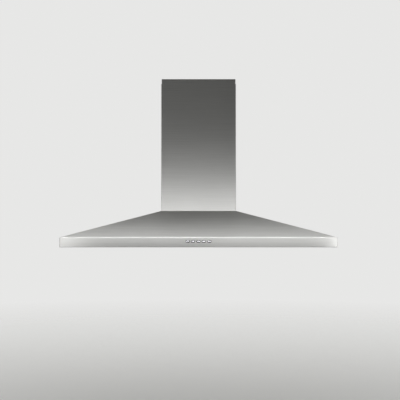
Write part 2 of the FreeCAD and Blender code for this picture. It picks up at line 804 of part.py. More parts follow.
def grease_filters():
    hooks, leaves = [], []
    for name, x in zip(FILTER_NAMES, filter_middles()):
        frame = box(
            f"FrameBlock{name}",
            ("filter_width", "filter_length", "filter_thickness"),
            (f"{x} - filter_width / 2", "-filter_front", "pan_bottom"),
        )
        inner = ("filter_width - 2 * filter_rail", "filter_length - 2 * filter_rail")
        inner_corner = (f"{x} - filter_width / 2 + filter_rail", "-filter_front + filter_rail")
        window = box(
            f"FrameWindow{name}",
            (*inner, "3 * filter_thickness"),
            (*inner_corner, "pan_bottom - filter_thickness"),
        )
        pins = [
            rod(
                f"PivotPin{name}{side}",
                "pivot_radius",
                "pivot_reach + filter_rail / 2",
                (
                    f"{x} + {sign} * (filter_width + pivot_reach - filter_rail / 2) / 2"
                    " - (pivot_reach + filter_rail / 2) / 2",
                    "-pivot_y",
                    "pivot_z",
                ),
                "X",
            )
            for side, sign in SIDES
        ]
        publish(fuse(f"Frame{name}", cut(f"FrameRing{name}", frame, window), *pins), f"filter_frame_{name}")
        meshes = [
            box(f"Mesh{name}{mark}", (*inner, "mesh_gauge"), (*inner_corner, level))
            for mark, level in (
                ("Low", "pan_bottom + mesh_inset"),
                ("High", "pan_bottom + filter_thickness - mesh_inset - mesh_gauge"),
            )
        ]
        publish(group(f"Meshes{name}", *meshes), f"filter_mesh_{name}")
        pull = box(
            f"Pull{name}",
            ("pull_width", "pull_gauge", "pull_drop"),
            (f"{x} - pull_width / 2", "-filter_front + pull_inset", "pan_bottom - pull_drop"),
        )
        publish(pull, f"filter_pull_{name}")
        for side, sign in SIDES:
            hooks.append(
                pivot_hook(
                    f"{name}{side}", f"{x} + {sign} * (opening_width + pivot_hook_gauge + filter_gap) / 2"
                ),
            )
            leaves.append(leaf_spring(f"{name}{side}", f"{x} + {sign} * filter_width / 4"))
    publish(group("PivotHooks", *hooks), "filter_hooks")
    publish(group("LeafSprings", *leaves), "filter_leaf_springs")


def pivot_hook(name, x):
    left = f"{x} - pivot_hook_gauge / 2"
    high = "pivot_z + pivot_radius + pivot_hook_cover"
    block = box(
        f"PivotHookBlock{name}",
        ("pivot_hook_gauge", "pivot_hook_length", f"{high} - pan_top"),
        (left, "-pivot_y - pivot_hook_length / 2", "pan_top"),
    )
    seat = rod(
        f"PivotSeat{name}",
        "pivot_radius + pivot_gap",
        "3 * pivot_hook_gauge",
        (f"{left} - pivot_hook_gauge", "-pivot_y", "pivot_z"),
        "X",
    )
    mouth = box(
        f"PivotMouth{name}",
        ("3 * pivot_hook_gauge", "2 * (pivot_radius + pivot_gap)", "4 * pivot_hook_cover"),
        (f"{left} - pivot_hook_gauge", "-pivot_y - pivot_radius - pivot_gap", "pivot_z"),
    )
    return cut(f"PivotHook{name}", block, seat, mouth)


def leaf_spring(name, x):
    face = "filter_front + fit_gap"
    foot = box(
        f"LeafFoot{name}",
        ("leaf_width", "leaf_base", "sheet_gauge"),
        (f"{x} - leaf_width / 2", f"-({face}) - leaf_base", "pan_top"),
    )
    blade = box(
        f"LeafBlade{name}",
        ("leaf_width", "sheet_gauge", "filter_thickness"),
        (f"{x} - leaf_width / 2", f"-({face}) - sheet_gauge", "pan_top"),
    )
    return fuse(f"Leaf{name}", foot, blade)


def lamps():
    neck_outer = "lamp_radius - fit_gap"
    for side, sign in SIDES:
        at = (f"{sign} * lamp_x", "-lamp_y", "pan_bottom")
        ring = [
            ("lens_radius - lens_seat", "-lamp_ring_drop"),
            ("lamp_radius + lamp_flange", "-lamp_ring_drop"),
            ("lamp_radius + lamp_flange", "0"),
            (neck_outer, "0"),
            (neck_outer, "lamp_neck"),
            ("lens_radius", "lamp_neck"),
            ("lens_radius", "0"),
            ("lens_radius - lens_seat", "0"),
        ]
        publish(turned(f"LampRing{side}", ring, at), f"lamp_ring_{side}")
        lens = rod(f"Lens{side}", "lens_radius", "lens_thickness", (at[0], at[1], "pan_bottom"))
        publish(lens, f"lamp_glass_{side}")
        can = [
            ("can_radius - can_wall", "sheet_gauge"),
            ("can_radius", "sheet_gauge"),
            ("can_radius", "sheet_gauge + can_height"),
            ("0", "sheet_gauge + can_height"),
            ("0", "sheet_gauge + can_height - can_wall"),
            ("can_radius - can_wall", "sheet_gauge + can_height - can_wall"),
        ]
        publish(turned(f"LampCan{side}", can, at), f"lamp_housing_{side}")
    boards = [
        rod(
            f"LightBoard{side}",
            "led_radius",
            "led_thickness",
            (f"{sign} * lamp_x", "-lamp_y", "pan_top + can_height - can_wall - led_thickness"),
        )
        for side, sign in SIDES
    ]
    publish(group("LightBoards", *boards), "lamp_light_boards")
    driver = box(
        "Driver",
        ("driver_width", "driver_depth", "driver_height"),
        ("driver_x", "-sheet_gauge - driver_depth", "driver_level"),
    )
    publish(driver, "lamp_driver")


# Key row in the front band


def key_places():
    count = int(size("key_count"))
    return [f"{i - (count - 1) / 2} * key_pitch" for i in range(count)]


def control_row():
    low = "return_height"
    block = box(
        "ControlBlock",
        ("control_width", "control_depth", "control_height"),
        ("-control_width / 2", "-control_front", low),
    )
    room = box(
        "ControlRoom",
        ("control_width - 2 * control_wall", "control_depth", "control_height - 2 * control_wall"),
        ("-control_width / 2 + control_wall", "-control_front + control_wall", f"{low} + control_wall"),
    )
    guides = [
        pill(
            f"KeyGuide{i}",
            "key_hole_length",
            "key_hole_height",
            "3 * control_wall",
            (x, "-control_front - control_wall", "key_level"),
        )
        for i, x in enumerate(key_places())
    ]
    publish(cut("ControlHousing", block, room, *guides), "key_housing")
    board = box(
        "KeyBoard",
        ("control_width", "board_thickness", "control_height"),
        ("-control_width / 2", "-control_back", low),
    )
    publish(board, "key_board")
    switches = []
    for i, x in enumerate(key_places()):
        body = box(
            f"SwitchBody{i}",
            ("switch_size", "switch_height", "switch_size"),
            (f"{x} - switch_size / 2", "-control_back - switch_height", "key_level - switch_size / 2"),
        )
        plunger = rod(
            f"Plunger{i}", "plunger_radius", "plunger_height", (x, "-plunger_front", "key_level"), "Y"
        )
        switches.append(fuse(f"Switch{i}", body, plunger))
        publish(push_key(i, x), f"key_{i + 1}")
    publish(group("KeySwitches", *switches), "key_switches")
    screws = [
        rod(
            f"BoardScrew{side}",
            "screw_head_radius",
            "screw_head_height",
            (
                f"{sign} * (control_width / 2 - screw_head_radius - control_wall)",
                "-control_back + board_thickness",
                "key_level",
            ),
            "Y",
        )
        for side, sign in SIDES
    ]
    publish(group("BoardScrews", *screws), "key_board_screws")


def push_key(i, x):
    face = "hood_depth + key_proud"
    cap = pill(
        f"KeyCap{i}", "key_length", "key_height", f"{face} - (collar_front)", (x, f"-({face})", "key_level")
    )
    doc.recompute()
    front = cap.Shape.BoundBox.YMin
    eased = rounded(
        f"KeyEased{i}",
        cap,
        size("key_edge"),
        lambda edge: near(edge.BoundBox.YMin, front) and near(edge.BoundBox.YMax, front),
    )
    collar = pill(
        f"KeyCollar{i}",
        "key_length + 2 * key_collar",
        "key_height + 2 * key_collar",
        "key_collar_depth",
        (x, "-(collar_front)", "key_level"),
    )
    stem = rod(
        f"KeyStem{i}", "key_stem_radius", "collar_back - (stem_back)", (x, "-(collar_back)", "key_level"), "Y"
    )
    return fuse(f"Key{i}", eased, collar, stem)


# Blower in the foot of the chimney: box, scroll, wheel, motor, spigot with damper, terminal box


def blower_box():
    outer = box(
        "BoxOuter",
        ("blower_width", "blower_depth", "blower_height"),
        ("-blower_width / 2", "-blower_inset - blower_depth", "canopy_top"),
    )
    flange = box(
        "BoxFlange",
        ("blower_width + 2 * blower_flange", "blower_depth + 2 * blower_flange", "sheet_gauge"),
        ("-blower_width / 2 - blower_flange", "-blower_inset - blower_depth - blower_flange", "canopy_top"),
    )
    room = box(
        "BoxRoom",
        ("blower_width - 2 * sheet_gauge", "blower_depth - 2 * sheet_gauge", "blower_height"),
        (
            "-blower_width / 2 + sheet_gauge",
            "-blower_inset - blower_depth + sheet_gauge",
            "canopy_top - sheet_gauge",
        ),
    )
    throat = rod(
        "BoxThroat", "duct_throat", "4 * sheet_gauge", ("0", "-blower_middle", "blower_top - 2 * sheet_gauge")
    )
    publish(cut("BlowerBox", fuse("BoxWhole", outer, flange), room, throat), "blower_box")


def scroll_halves():
    for side, sign in SIDES:
        halves = []
        for part, wall in (("Outer", "0"), ("Inner", "scroll_wall")):
            length = f"(scroll_width / 2 - ({wall}))"
            start = f"({sign} - 1) / 2 * {length}"
            drum = rod(
                f"Scroll{part}Drum{side}",
                f"scroll_radius - ({wall})",
                length,
                (start, "-blower_middle", "fan_z"),
                "X",
            )
            depth = f"(scroll_radius + scroll_tongue - 2 * ({wall}))"
            rise = "blower_height - fan_axis_height - sheet_gauge"
            throat = box(
                f"Scroll{part}Throat{side}",
                (length, depth, rise if part == "Outer" else f"{rise} + scroll_wall"),
                (start, f"-blower_middle - scroll_radius + ({wall})", "fan_z"),
            )
            halves.append(fuse(f"Scroll{part}{side}", drum, throat))
        inlet = rod(
            f"ScrollInlet{side}",
            "scroll_inlet",
            "scroll_width",
            (f"({sign} - 1) / 2 * scroll_width", "-blower_middle", "fan_z"),
            "X",
        )
        publish(cut(f"ScrollHalf{side}", *halves, inlet), f"scroll_{side}")


def fan_wheel():
    body = doc.addObject("PartDesign::Body", "Wheel")
    disc = profile_sketch(
        body,
        "WheelProfile",
        "XZ_Plane",
        [
            ("shaft_radius", "-hub_length / 2"),
            ("hub_radius", "-hub_length / 2"),
            ("hub_radius", "-wheel_disc / 2"),
            ("wheel_radius", "-wheel_disc / 2"),
            ("wheel_radius", "wheel_disc / 2"),
            ("hub_radius", "wheel_disc / 2"),
            ("hub_radius", "hub_length / 2"),
            ("shaft_radius", "hub_length / 2"),
        ],
    )
    hub = body.newObject("PartDesign::Revolution", "WheelHub")
    hub.Profile = disc
    hub.ReferenceAxis = (disc, ["V_Axis"])
    hub.Angle = 360
    blade = profile_sketch(
        body,
        "BladeProfile",
        "XY_Plane",
        [
            ("wheel_radius - blade_depth", "-blade_gauge / 2"),
            ("wheel_radius - blade_gauge", "blade_depth / 2 - blade_gauge / 2"),
            ("wheel_radius - blade_gauge", "blade_depth / 2 + blade_gauge"),
            ("wheel_radius - blade_depth", "blade_gauge"),
        ],
    )
    pad = body.newObject("PartDesign::Pad", "Blade")
    pad.Profile = blade
    bind(pad, Length="wheel_length")
    pad.Midplane = True
    pattern = body.newObject("PartDesign::PolarPattern", "Blades")
    pattern.Originals = [pad]
    pattern.Axis = (blade, ["N_Axis"])
    pattern.Angle = 360
    pattern.Occurrences = int(size("blade_count"))
    body.Tip = pattern
    for mark, sign in (("Low", -1), ("High", 1)):
        low = f"{sign} * (wheel_length / 2 - wheel_disc / 2) - wheel_disc / 2"
        ring = profile_sketch(
            body,
            f"WheelRing{mark}Profile",
            "XZ_Plane",
            [
                ("wheel_radius - blade_depth - blade_gauge", low),
                ("wheel_radius", low),
                ("wheel_radius", f"{low} + wheel_disc"),
                ("wheel_radius - blade_depth - blade_gauge", f"{low} + wheel_disc"),
            ],
        )
        rim = body.newObject("PartDesign::Revolution", f"WheelRing{mark}")
        rim.Profile = ring
        rim.ReferenceAxis = (ring, ["V_Axis"])
        rim.Angle = 360
    publish(place(body, ("0", "-blower_middle", "fan_z"), TURNS["X"]), "fan_wheel")


def motor():
    at = ("0", "-blower_middle", "fan_z")
    can = [
        ("bearing_radius", "motor_near"),
        ("motor_radius", "motor_near"),
        ("motor_radius", "motor_far"),
        ("spider_hub - motor_wall", "motor_far"),
        ("spider_hub - motor_wall", "spider_near"),
        ("bearing_radius", "spider_near"),
        ("bearing_radius", "motor_far - bearing_width"),
        ("stator_outer", "motor_far - bearing_width"),
        ("stator_outer", "motor_near + bearing_width"),
        ("bearing_radius", "motor_near + bearing_width"),
    ]
    publish(turned("MotorCan", can, at, "X"), "motor_can")
    stator = [
        ("stator_outer - stator_depth", "rotor_near"),
        ("stator_outer", "rotor_near"),
        ("stator_outer", "rotor_near + rotor_length"),
        ("stator_outer - stator_depth", "rotor_near + rotor_length"),
    ]
    publish(turned("Stator", stator, at, "X"), "motor_stator")
    rotor = [
        ("shaft_radius", "rotor_near"),
        ("rotor_outer", "rotor_near"),
        ("rotor_outer", "rotor_near + rotor_length"),
        ("shaft_radius", "rotor_near + rotor_length"),
    ]
    publish(turned("Rotor", rotor, at, "X"), "motor_rotor")
    shaft = rod("Shaft", "shaft_radius", "motor_far + hub_length / 2", ("-hub_length / 2", at[1], at[2]), "X")
    publish(shaft, "motor_shaft")
    bearings = []
    for mark, low in (("Near", "motor_near"), ("Far", "motor_far - bearing_width")):
        outer = rod(f"Bearing{mark}Outer", "bearing_radius", "bearing_width", (low, at[1], at[2]), "X")
        bore = rod(
            f"Bearing{mark}Bore",
            "shaft_radius + bearing_gap",
            "3 * bearing_width",
            (f"{low} - bearing_width", at[1], at[2]),
            "X",
        )
        bearings.append(cut(f"Bearing{mark}", outer, bore))
    publish(group("Bearings", *bearings), "motor_bearings")
    rim_outer = "scroll_inlet + spider_ring"
    rim = cut(
        "SpiderRim",
        rod("SpiderRimOuter", rim_outer, "spider_gauge", ("spider_near", at[1], at[2]), "X"),
        rod(
            "SpiderRimBore",
            "scroll_inlet",
            "3 * spider_gauge",
            ("spider_near - spider_gauge", at[1], at[2]),
            "X",
        ),
    )
    middle = rod("SpiderMiddle", "spider_hub", "spider_gauge", ("spider_near", at[1], at[2]), "X")
    arms = []
    for i in range(3):
        arm = box(
            f"SpiderArm{i}",
            ("spider_gauge", "spider_arm", "scroll_inlet + spider_ring / 2"),
            ("spider_near", "-blower_middle", "fan_z"),
        )
        turn = Rotation(Vector(1, 0, 0), 120 * i)
        arm.Placement = Placement(Vector(), turn)
        shift = turn.multVec(Vector(0, -1, 0))
        place(
            arm,
            (
                "spider_near",
                f"-blower_middle + {shift.y} * spider_arm / 2",
                f"fan_z + {shift.z} * spider_arm / 2",
            ),
        )
        arms.append(arm)
    publish(fuse("Spider", rim, middle, *arms), "motor_carrier")


def duct_spigot():
    at = ("0", "-blower_middle", "blower_top")
    stop_low = "damper_level - damper_gauge / 2 - fit_gap"
    profile = [
        ("duct_throat", "0"),
        ("duct_radius + duct_flange", "0"),
        ("duct_radius + duct_flange", "duct_flange_gauge"),
        ("duct_radius", "duct_flange_gauge"),
        ("duct_radius", "duct_length + duct_flange_gauge"),
        ("duct_bore", "duct_length + duct_flange_gauge"),
        ("duct_bore", stop_low),
        ("duct_bore - damper_stop", stop_low),
        ("duct_bore - damper_stop", f"{stop_low} - duct_flange_gauge"),
        ("duct_bore", f"{stop_low} - duct_flange_gauge"),
        ("duct_bore", "duct_flange_gauge"),
        ("duct_throat", "duct_flange_gauge"),
    ]
    ring = turned("SpigotRing", profile, at)
    pin_length = "2 * duct_bore + duct_wall"
    pin_start = "-duct_bore - duct_wall / 2"
    hole = rod("SpigotPinHole", "damper_pin_radius", pin_length, (pin_start, at[1], "damper_z"), "X")
    publish(cut("Spigot", ring, hole), "duct_spigot")
    publish(
        rod("DamperPin", "damper_pin_radius", pin_length, (pin_start, at[1], "damper_z"), "X"), "damper_pin"
    )
    for name, sign, shift in (("front", -1, 0), ("rear", 1, 1)):
        publish(damper_flap(name, sign, shift), f"damper_flap_{name}")


def damper_flap(name, sign, shift):
    # Half a disc on two knuckles, which stand between the knuckles of the other flap
    low = "damper_z - damper_gauge / 2"
    disc = rod(f"FlapDisc{name}", "flap_radius", "damper_gauge", ("0", "-blower_middle", low))
    half = box(
        f"FlapHalf{name}",
        ("2 * flap_radius", "flap_radius", "3 * damper_gauge"),
        (
            "-flap_radius",
            f"-blower_middle + {sign} * (damper_root + flap_radius / 2) - flap_radius / 2",
            f"{low} - damper_gauge",
        ),
    )
    plate = doc.addObject("Part::Common", f"FlapPlate{name}")
    plate.Base = disc
    plate.Tool = half
    pieces = [plate]
    step = "(damper_knuckle_length + fit_gap)"
    for i in range(2):
        start = f"({2 * i + shift} - 2) * {step}"
        pieces.append(
            rod(
                f"Knuckle{name}{i}",
                "damper_knuckle",
                "damper_knuckle_length",
                (start, "-blower_middle", "damper_z"),
                "X",
            ),
        )
        pieces.append(
            box(
                f"KnuckleTab{name}{i}",
                ("damper_knuckle_length", "damper_root + damper_gauge", "damper_gauge"),
                (
                    start,
                    f"-blower_middle + {sign} * (damper_root + damper_gauge) / 2"
                    " - (damper_root + damper_gauge) / 2",
                    low,
                ),
            )
        )
    bore = rod(
        f"KnuckleBore{name}",
        "damper_pin_radius + damper_pin_gap",
        "4 * flap_radius",
        ("-2 * flap_radius", "-blower_middle", "damper_z"),
        "X",
    )
    return cut(f"Flap{name}", fuse(f"FlapWhole{name}", *pieces), bore)


def electrics():
    lengths = ("terminal_width", "terminal_length", "terminal_height")
    corner = ("terminal_x", "-terminal_y - terminal_length", "blower_top")
    shell = box("TerminalBlock", lengths, corner)
    room = box(
        "TerminalRoom",
        tuple(f"{text} - {walls} * terminal_wall" for text, walls in zip(lengths, (2, 2, 0))),
        tuple(f"{text} + terminal_wall" for text in corner),
    )
    hole = rod(
        "TerminalHole",
        "gland_bore + 2 * fit_gap",
        "4 * terminal_wall",
        ("gland_x", "-terminal_y - 2 * terminal_wall", "gland_z"),
        "Y",
    )
    publish(cut("TerminalBox", shell, room, hole), "terminal_box")
    lid = box("TerminalLid", (*lengths[:2], "terminal_wall"), (*corner[:2], "blower_top + terminal_height"))
    publish(lid, "terminal_lid")
    gland = [
        ("gland_bore", "0"),
        ("gland_radius", "0"),
        ("gland_radius", "0.6 * gland_length"),
        ("0.8 * gland_radius", "gland_length"),
        ("gland_bore", "gland_length"),
    ]
    publish(turned("Gland", gland, ("gland_x", "-terminal_y", "gland_z"), "Y"), "cable_gland")
    capacitor = rod(
        "Capacitor",
        "capacitor_radius",
        "capacitor_height",
        ("-blower_width / 2 + capacitor_inset", "-blower_inset - capacitor_inset", "blower_top"),
    )
    publish(capacitor, "run_capacitor")


def check_and_write():
    doc.recompute()
    for obj in doc.Objects:
        if "Invalid" in obj.State or "Error" in obj.State:
            raise RuntimeError(f"{obj.Label} failed: {obj.State}")
    os.makedirs("parts", exist_ok=True)
    for obj in published:
        shape = obj.Shape
        if shape.isNull() or not shape.isValid() or not shape.Solids:
            raise RuntimeError(f"{obj.Label} has no valid solid")
        shape.exportStep(f"parts/{obj.Label}.step")
        print(f"{obj.Label}: {len(shape.Solids)} solids, {shape.Volume / 1000:.1f} cm3")


canopy_shell()
back_panel()
wall_hooks()
lower_chimney()
upper_chimney()
underpan()
grease_filters()
lamps()
control_row()
blower_box()
scroll_halves()
fan_wheel()
motor()
duct_spigot()
electrics()
check_and_write()
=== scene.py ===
import json
import math

import bmesh
import bpy
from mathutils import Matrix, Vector


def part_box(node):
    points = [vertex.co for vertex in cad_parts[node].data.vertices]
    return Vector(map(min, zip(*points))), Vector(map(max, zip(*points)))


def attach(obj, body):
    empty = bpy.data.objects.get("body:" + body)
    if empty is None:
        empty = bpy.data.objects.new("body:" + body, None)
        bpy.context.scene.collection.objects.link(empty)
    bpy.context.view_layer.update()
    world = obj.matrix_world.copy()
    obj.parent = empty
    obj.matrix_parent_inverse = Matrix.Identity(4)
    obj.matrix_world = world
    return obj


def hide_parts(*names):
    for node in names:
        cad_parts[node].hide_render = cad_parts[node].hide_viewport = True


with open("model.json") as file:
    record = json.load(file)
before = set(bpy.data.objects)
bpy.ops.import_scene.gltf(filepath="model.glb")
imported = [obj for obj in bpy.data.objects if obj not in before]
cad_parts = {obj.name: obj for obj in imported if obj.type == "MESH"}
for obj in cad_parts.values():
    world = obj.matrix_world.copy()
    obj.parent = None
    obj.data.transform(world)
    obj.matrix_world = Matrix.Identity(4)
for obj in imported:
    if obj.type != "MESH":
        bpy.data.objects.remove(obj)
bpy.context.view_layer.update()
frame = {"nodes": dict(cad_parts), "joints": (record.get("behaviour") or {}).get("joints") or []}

nodes = frame["nodes"]
scene = bpy.context.scene
scene.view_settings.view_transform = "Standard"
mm = 0.001  # the pieces' sizes are in millimetres, the stage's in metres


# small helpers

def linear(code):  # sRGB hex to linear colour
    parts = [int(code[i:i + 2], 16) / 255 for i in (1, 3, 5)]
    return [c / 12.92 if c <= 0.04045 else ((c + 0.055) / 1.055) ** 2.4 for c in parts] + [1.0]


def addNode(tree, kind, settings=None, inputs=None):
    # an input takes a plain value, a socket, or a node for its first output
    node = tree.nodes.new(kind)
    for name, value in (settings or {}).items():
        setattr(node, name, value)
    for name, value in (inputs or {}).items():
        if isinstance(value, bpy.types.Node):
            value = value.outputs[0]
        if isinstance(value, bpy.types.NodeSocket):
            tree.links.new(value, node.inputs[name])
        else:
            node.inputs[name].default_value = value
    return node


def span(node):  # a CAD node's lowest and highest corner
    return [[round(v / mm, 2) for v in corner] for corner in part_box(node)]


def halfway(node):  # the middle of a CAD node's box
    return [(a + b) / 2 for a, b in zip(*span(node))]


placed = [joint for joint in frame["joints"] if "pos_m" in joint]
pivots = {joint["name"]: [round(v / mm, 2) for v in joint["pos_m"]] for joint in placed}


def shade(mesh, angle):
    mesh.shade_smooth()
    mesh.set_sharp_from_angle(angle=math.radians(angle))


def newObject(name, bm, material, smooth=32):  # smooth: degrees at which an edge stays sharp
    mesh = bpy.data.meshes.new(name)
    bm.to_mesh(mesh)
    bm.free()
    obj = bpy.data.objects.new(name, mesh)
    scene.collection.objects.link(obj)
    mesh.materials.append(material)
    shade(mesh, smooth)
    return obj


def settle(obj, smooth=32):  # live modifiers become a plain mesh
    evaluated = obj.evaluated_get(bpy.context.evaluated_depsgraph_get())
    mesh = bpy.data.meshes.new_from_object(evaluated)
    obj.modifiers.clear()
    obj.data = mesh
    shade(mesh, smooth)
    return obj


def sheetMetal(obj, gauge, edge):  # a skin gets its gauge inwards and eased edges
    solid = obj.modifiers.new("gauge", "SOLIDIFY")
    solid.thickness = gauge * mm
    solid.offset = -1
    solid.use_even_offset = True
    ease = obj.modifiers.new("ease", "BEVEL")
    ease.width = edge * mm
    ease.segments = 2
    ease.limit_method = "ANGLE"
    ease.angle_limit = math.radians(50)
    return settle(obj)


def stands(obj, body, slot, *cadNodes):
    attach(obj, body)
    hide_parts(*cadNodes)
    return obj


# shared mesh tools for turned, swept and closed forms

def lathe(bm, profile, centre, axis="Z", steps=64, ring=False):
    # profile: (radius, height) pairs; ring closes it on itself, otherwise it starts and ends on the axis
    along = {"X": (1, 2, 0), "Y": (2, 0, 1), "Z": (0, 1, 2)}[axis]
    rows = []
    for radius, height in profile:
        row = []
        for i in range(steps if radius > 1e-6 else 1):
            a = 2 * math.pi * i / steps
            p = Vector((0, 0, 0))
            p[along[0]], p[along[1]], p[along[2]] = radius * math.cos(a), radius * math.sin(a), height
            row.append(bm.verts.new((p + Vector(centre)) * mm))
        rows.append(row)
    pairs = list(zip(rows, rows[1:])) + ([(rows[-1], rows[0])] if ring else [])
    made = []
    for low, high in pairs:
        for i in range(steps):
            j = (i + 1) % steps
            corners = (low[i % len(low)], low[j % len(low)], high[j % len(high)], high[i % len(high)])
            corners = list(dict.fromkeys(corners))  # a triangle at a pole
            if len(corners) > 2:
                made.append(bm.faces.new(corners))
    bmesh.ops.recalc_face_normals(bm, faces=made)
    return rows


def skin(bm, rows):  # quads between neighbouring closed rows of vertices
    made = []
    for low, high in zip(rows, rows[1:]):
        for i in range(len(low)):
            j = (i + 1) % len(low)
            made.append(bm.faces.new((low[i], low[j], high[j], high[i])))
    return made


def capped(bm, rings):  # closed form over rings of points, with a cap at the first and at the last
    rows = [[bm.verts.new(p * mm) for p in ring] for ring in rings]
    made = [bm.faces.new(rows[0]), bm.faces.new(rows[-1])] + skin(bm, rows)
    bmesh.ops.recalc_face_normals(bm, faces=made)


def tube(bm, path, radius, steps=12):  # round bar along a path in one upright plane
    side = Vector((0, 1, 0))
    rings = []
    for i, p in enumerate(path):
        before, after = path[max(i - 1, 0)], path[min(i + 1, len(path) - 1)]
        up = (after - before).normalized().cross(side)
        turns = [2 * math.pi * k / steps for k in range(steps)]
        rings.append([p + (side * math.cos(a) + up * math.sin(a)) * radius for a in turns])
    capped(bm, rings)


def pillLoop(length, height, steps=14):  # outline with round ends, about its middle
    r = height / 2
    straight = length / 2 - r
    loop = []
    for centre, start in ((straight, -90), (-straight, 90)):
        for i in range(steps + 1):
            a = math.radians(start + 180 * i / steps)
            loop.append((centre + r * math.cos(a), r * math.sin(a)))
    return loop


def roundedRing(middle, half, corner, counts, arc=5):  # rounded rectangle, anticlockwise from its right side
    x, y = half[0] - corner, half[1] - corner
    turns = ((x, y, 0), (-x, y, 90), (-x, -y, 180), (x, -y, 270))
    ring = []
    for k, (cx, cy, start) in enumerate(turns):
        for i in range(arc + 1):
            a = math.radians(start + 90 * i / arc)
            ring.append(Vector((cx + corner * math.cos(a), cy + corner * math.sin(a))))
        nx, ny, turn = turns[(k + 1) % 4]
        a, here = math.radians(turn), ring[-1]
        there = Vector((nx + corner * math.cos(a), ny + corner * math.sin(a)))
        ring += [here.lerp(there, i / counts[k % 2]) for i in range(1, counts[k % 2])]
    return [p + Vector(middle) for p in ring]


def quarter(steps):  # angles over a quarter turn, for a bend
    return [math.radians(90 * i / steps) for i in range(steps + 1)]


def smoothStep(value):
    t = min(1.0, max(0.0, value))
    return t * t * (3 - 2 * t)


# geometry node trees

def newTree(name, inputs):
    tree = bpy.data.node_groups.new(name, "GeometryNodeTree")
    tree.interface.new_socket("Geometry", in_out="INPUT", socket_type="NodeSocketGeometry")
    for label, kind in inputs.items():
        tree.interface.new_socket(label, in_out="INPUT", socket_type="NodeSocket" + kind)
    tree.interface.new_socket("Geometry", in_out="OUTPUT", socket_type="NodeSocketGeometry")
    return tree, addNode(tree, "NodeGroupInput").outputs


def closeTree(tree, geometry, material):
    real = addNode(tree, "GeometryNodeRealizeInstances", inputs={0: geometry})
    dressed = addNode(tree, "GeometryNodeSetMaterial", inputs={"Geometry": real, "Material": material})
    addNode(tree, "NodeGroupOutput", inputs={0: dressed})
    return tree


def grow(obj, tree, values, smooth=32):  # run a tree on an object and keep the plain mesh
    growth = obj.modifiers.new(tree.name, "NODES")
    growth.node_group = tree
    for item in tree.interface.items_tree:
        if item.in_out == "INPUT" and item.name in values:
            growth[item.identifier] = values[item.name]
    return settle(obj, smooth)


# materials

def newMaterial(name):  # gives the material, its tree and the Object coordinates
    made = bpy.data.materials.new(name)
    made.use_nodes = True
    tree = made.node_tree
    tree.nodes.clear()
    return made, tree, addNode(tree, "ShaderNodeTexCoord").outputs["Object"]


def closeMaterial(made, kind, inputs):
    shader = addNode(made.node_tree, kind, inputs=inputs)
    addNode(made.node_tree, "ShaderNodeOutputMaterial", inputs={"Surface": shader})
    return made


def setTones(ramp, dark, light, margin=0.0):  # two tones, flat for a margin at each end
    for stop, code, place in zip(ramp.elements, (dark, light), (margin, 1 - margin)):
        stop.position = place
        stop.color = linear(code)


def fleckedMaterial(name, grit, detail, dark, light, margin=0.0):  # two tones in flecks, their grit in mm
    made, tree, place = newMaterial(name)
    fleck = addNode(tree, "ShaderNodeTexNoise", inputs={
        "Vector": place, "Scale": 1000 / grit, "Detail": detail})
    tone = addNode(tree, "ShaderNodeValToRGB", inputs={"Fac": fleck})
    setTones(tone.color_ramp, dark, light, margin)
    return made, tree, fleck, tone


def brushedStainless(name, grain, rough, fold=None):
    # AISI 304 sheet with a fine belt grain: soft streaked reflections, faint light and dark hairlines; given
    # a fold level, a painted highlight along it
    made, tree, place = newMaterial(name)
    drawn = addNode(tree, "ShaderNodeMapping", inputs={"Vector": place, "Scale": grain})
    hair = addNode(tree, "ShaderNodeTexNoise", inputs={
        "Vector": drawn, "Scale": 1.0, "Detail": 3.0, "Roughness": 0.6})
    colour = addNode(tree, "ShaderNodeValToRGB", inputs={"Fac": hair})
    setTones(colour.color_ramp, "#bdbdbb", "#cacac8", margin=0.3)
    streak, handling = 0.10, 0.05  # how far the hairlines and the handling change the polish
    polish = addNode(tree, "ShaderNodeMath", {"operation": "MULTIPLY_ADD"}, {
        0: hair, 1: streak, 2: rough - streak / 2})
    cloud = addNode(tree, "ShaderNodeTexNoise", inputs={  # handling in clouds 200 mm across
        "Vector": place, "Scale": 1000 / 200, "Detail": 2.0})
    handled = addNode(tree, "ShaderNodeMath", {"operation": "MULTIPLY_ADD"}, {
        0: cloud, 1: handling, 2: polish})
    relief = addNode(tree, "ShaderNodeBump", inputs={"Height": hair, "Strength": 0.02, "Distance": 0.3 * mm})
    if fold:  # painted highlight: the base colour turns lighter within 1 to 4 mm of the fold's level, where the bend catches the light
        level = addNode(tree, "ShaderNodeSeparateXYZ", inputs={0: place}).outputs["Z"]
        above = addNode(tree, "ShaderNodeMath", {"operation": "SUBTRACT"}, {0: level, 1: fold * mm})
        away = addNode(tree, "ShaderNodeMath", {"operation": "ABSOLUTE"}, {0: above})
        near = addNode(tree, "ShaderNodeMapRange", inputs={
            "Value": away, "From Min": 1 * mm, "From Max": 4 * mm, "To Min": 1.0, "To Max": 0.0})
        paintedFoldHighlight = {0: near, 6: colour, 7: linear("#dededc")}
        colour = addNode(tree, "ShaderNodeMix", {"data_type": "RGBA"}, paintedFoldHighlight).outputs[2]
    return closeMaterial(made, "ShaderNodeBsdfPrincipled", {
        "Base Color": colour, "Metallic": 1.0, "Roughness": handled, "Normal": relief})


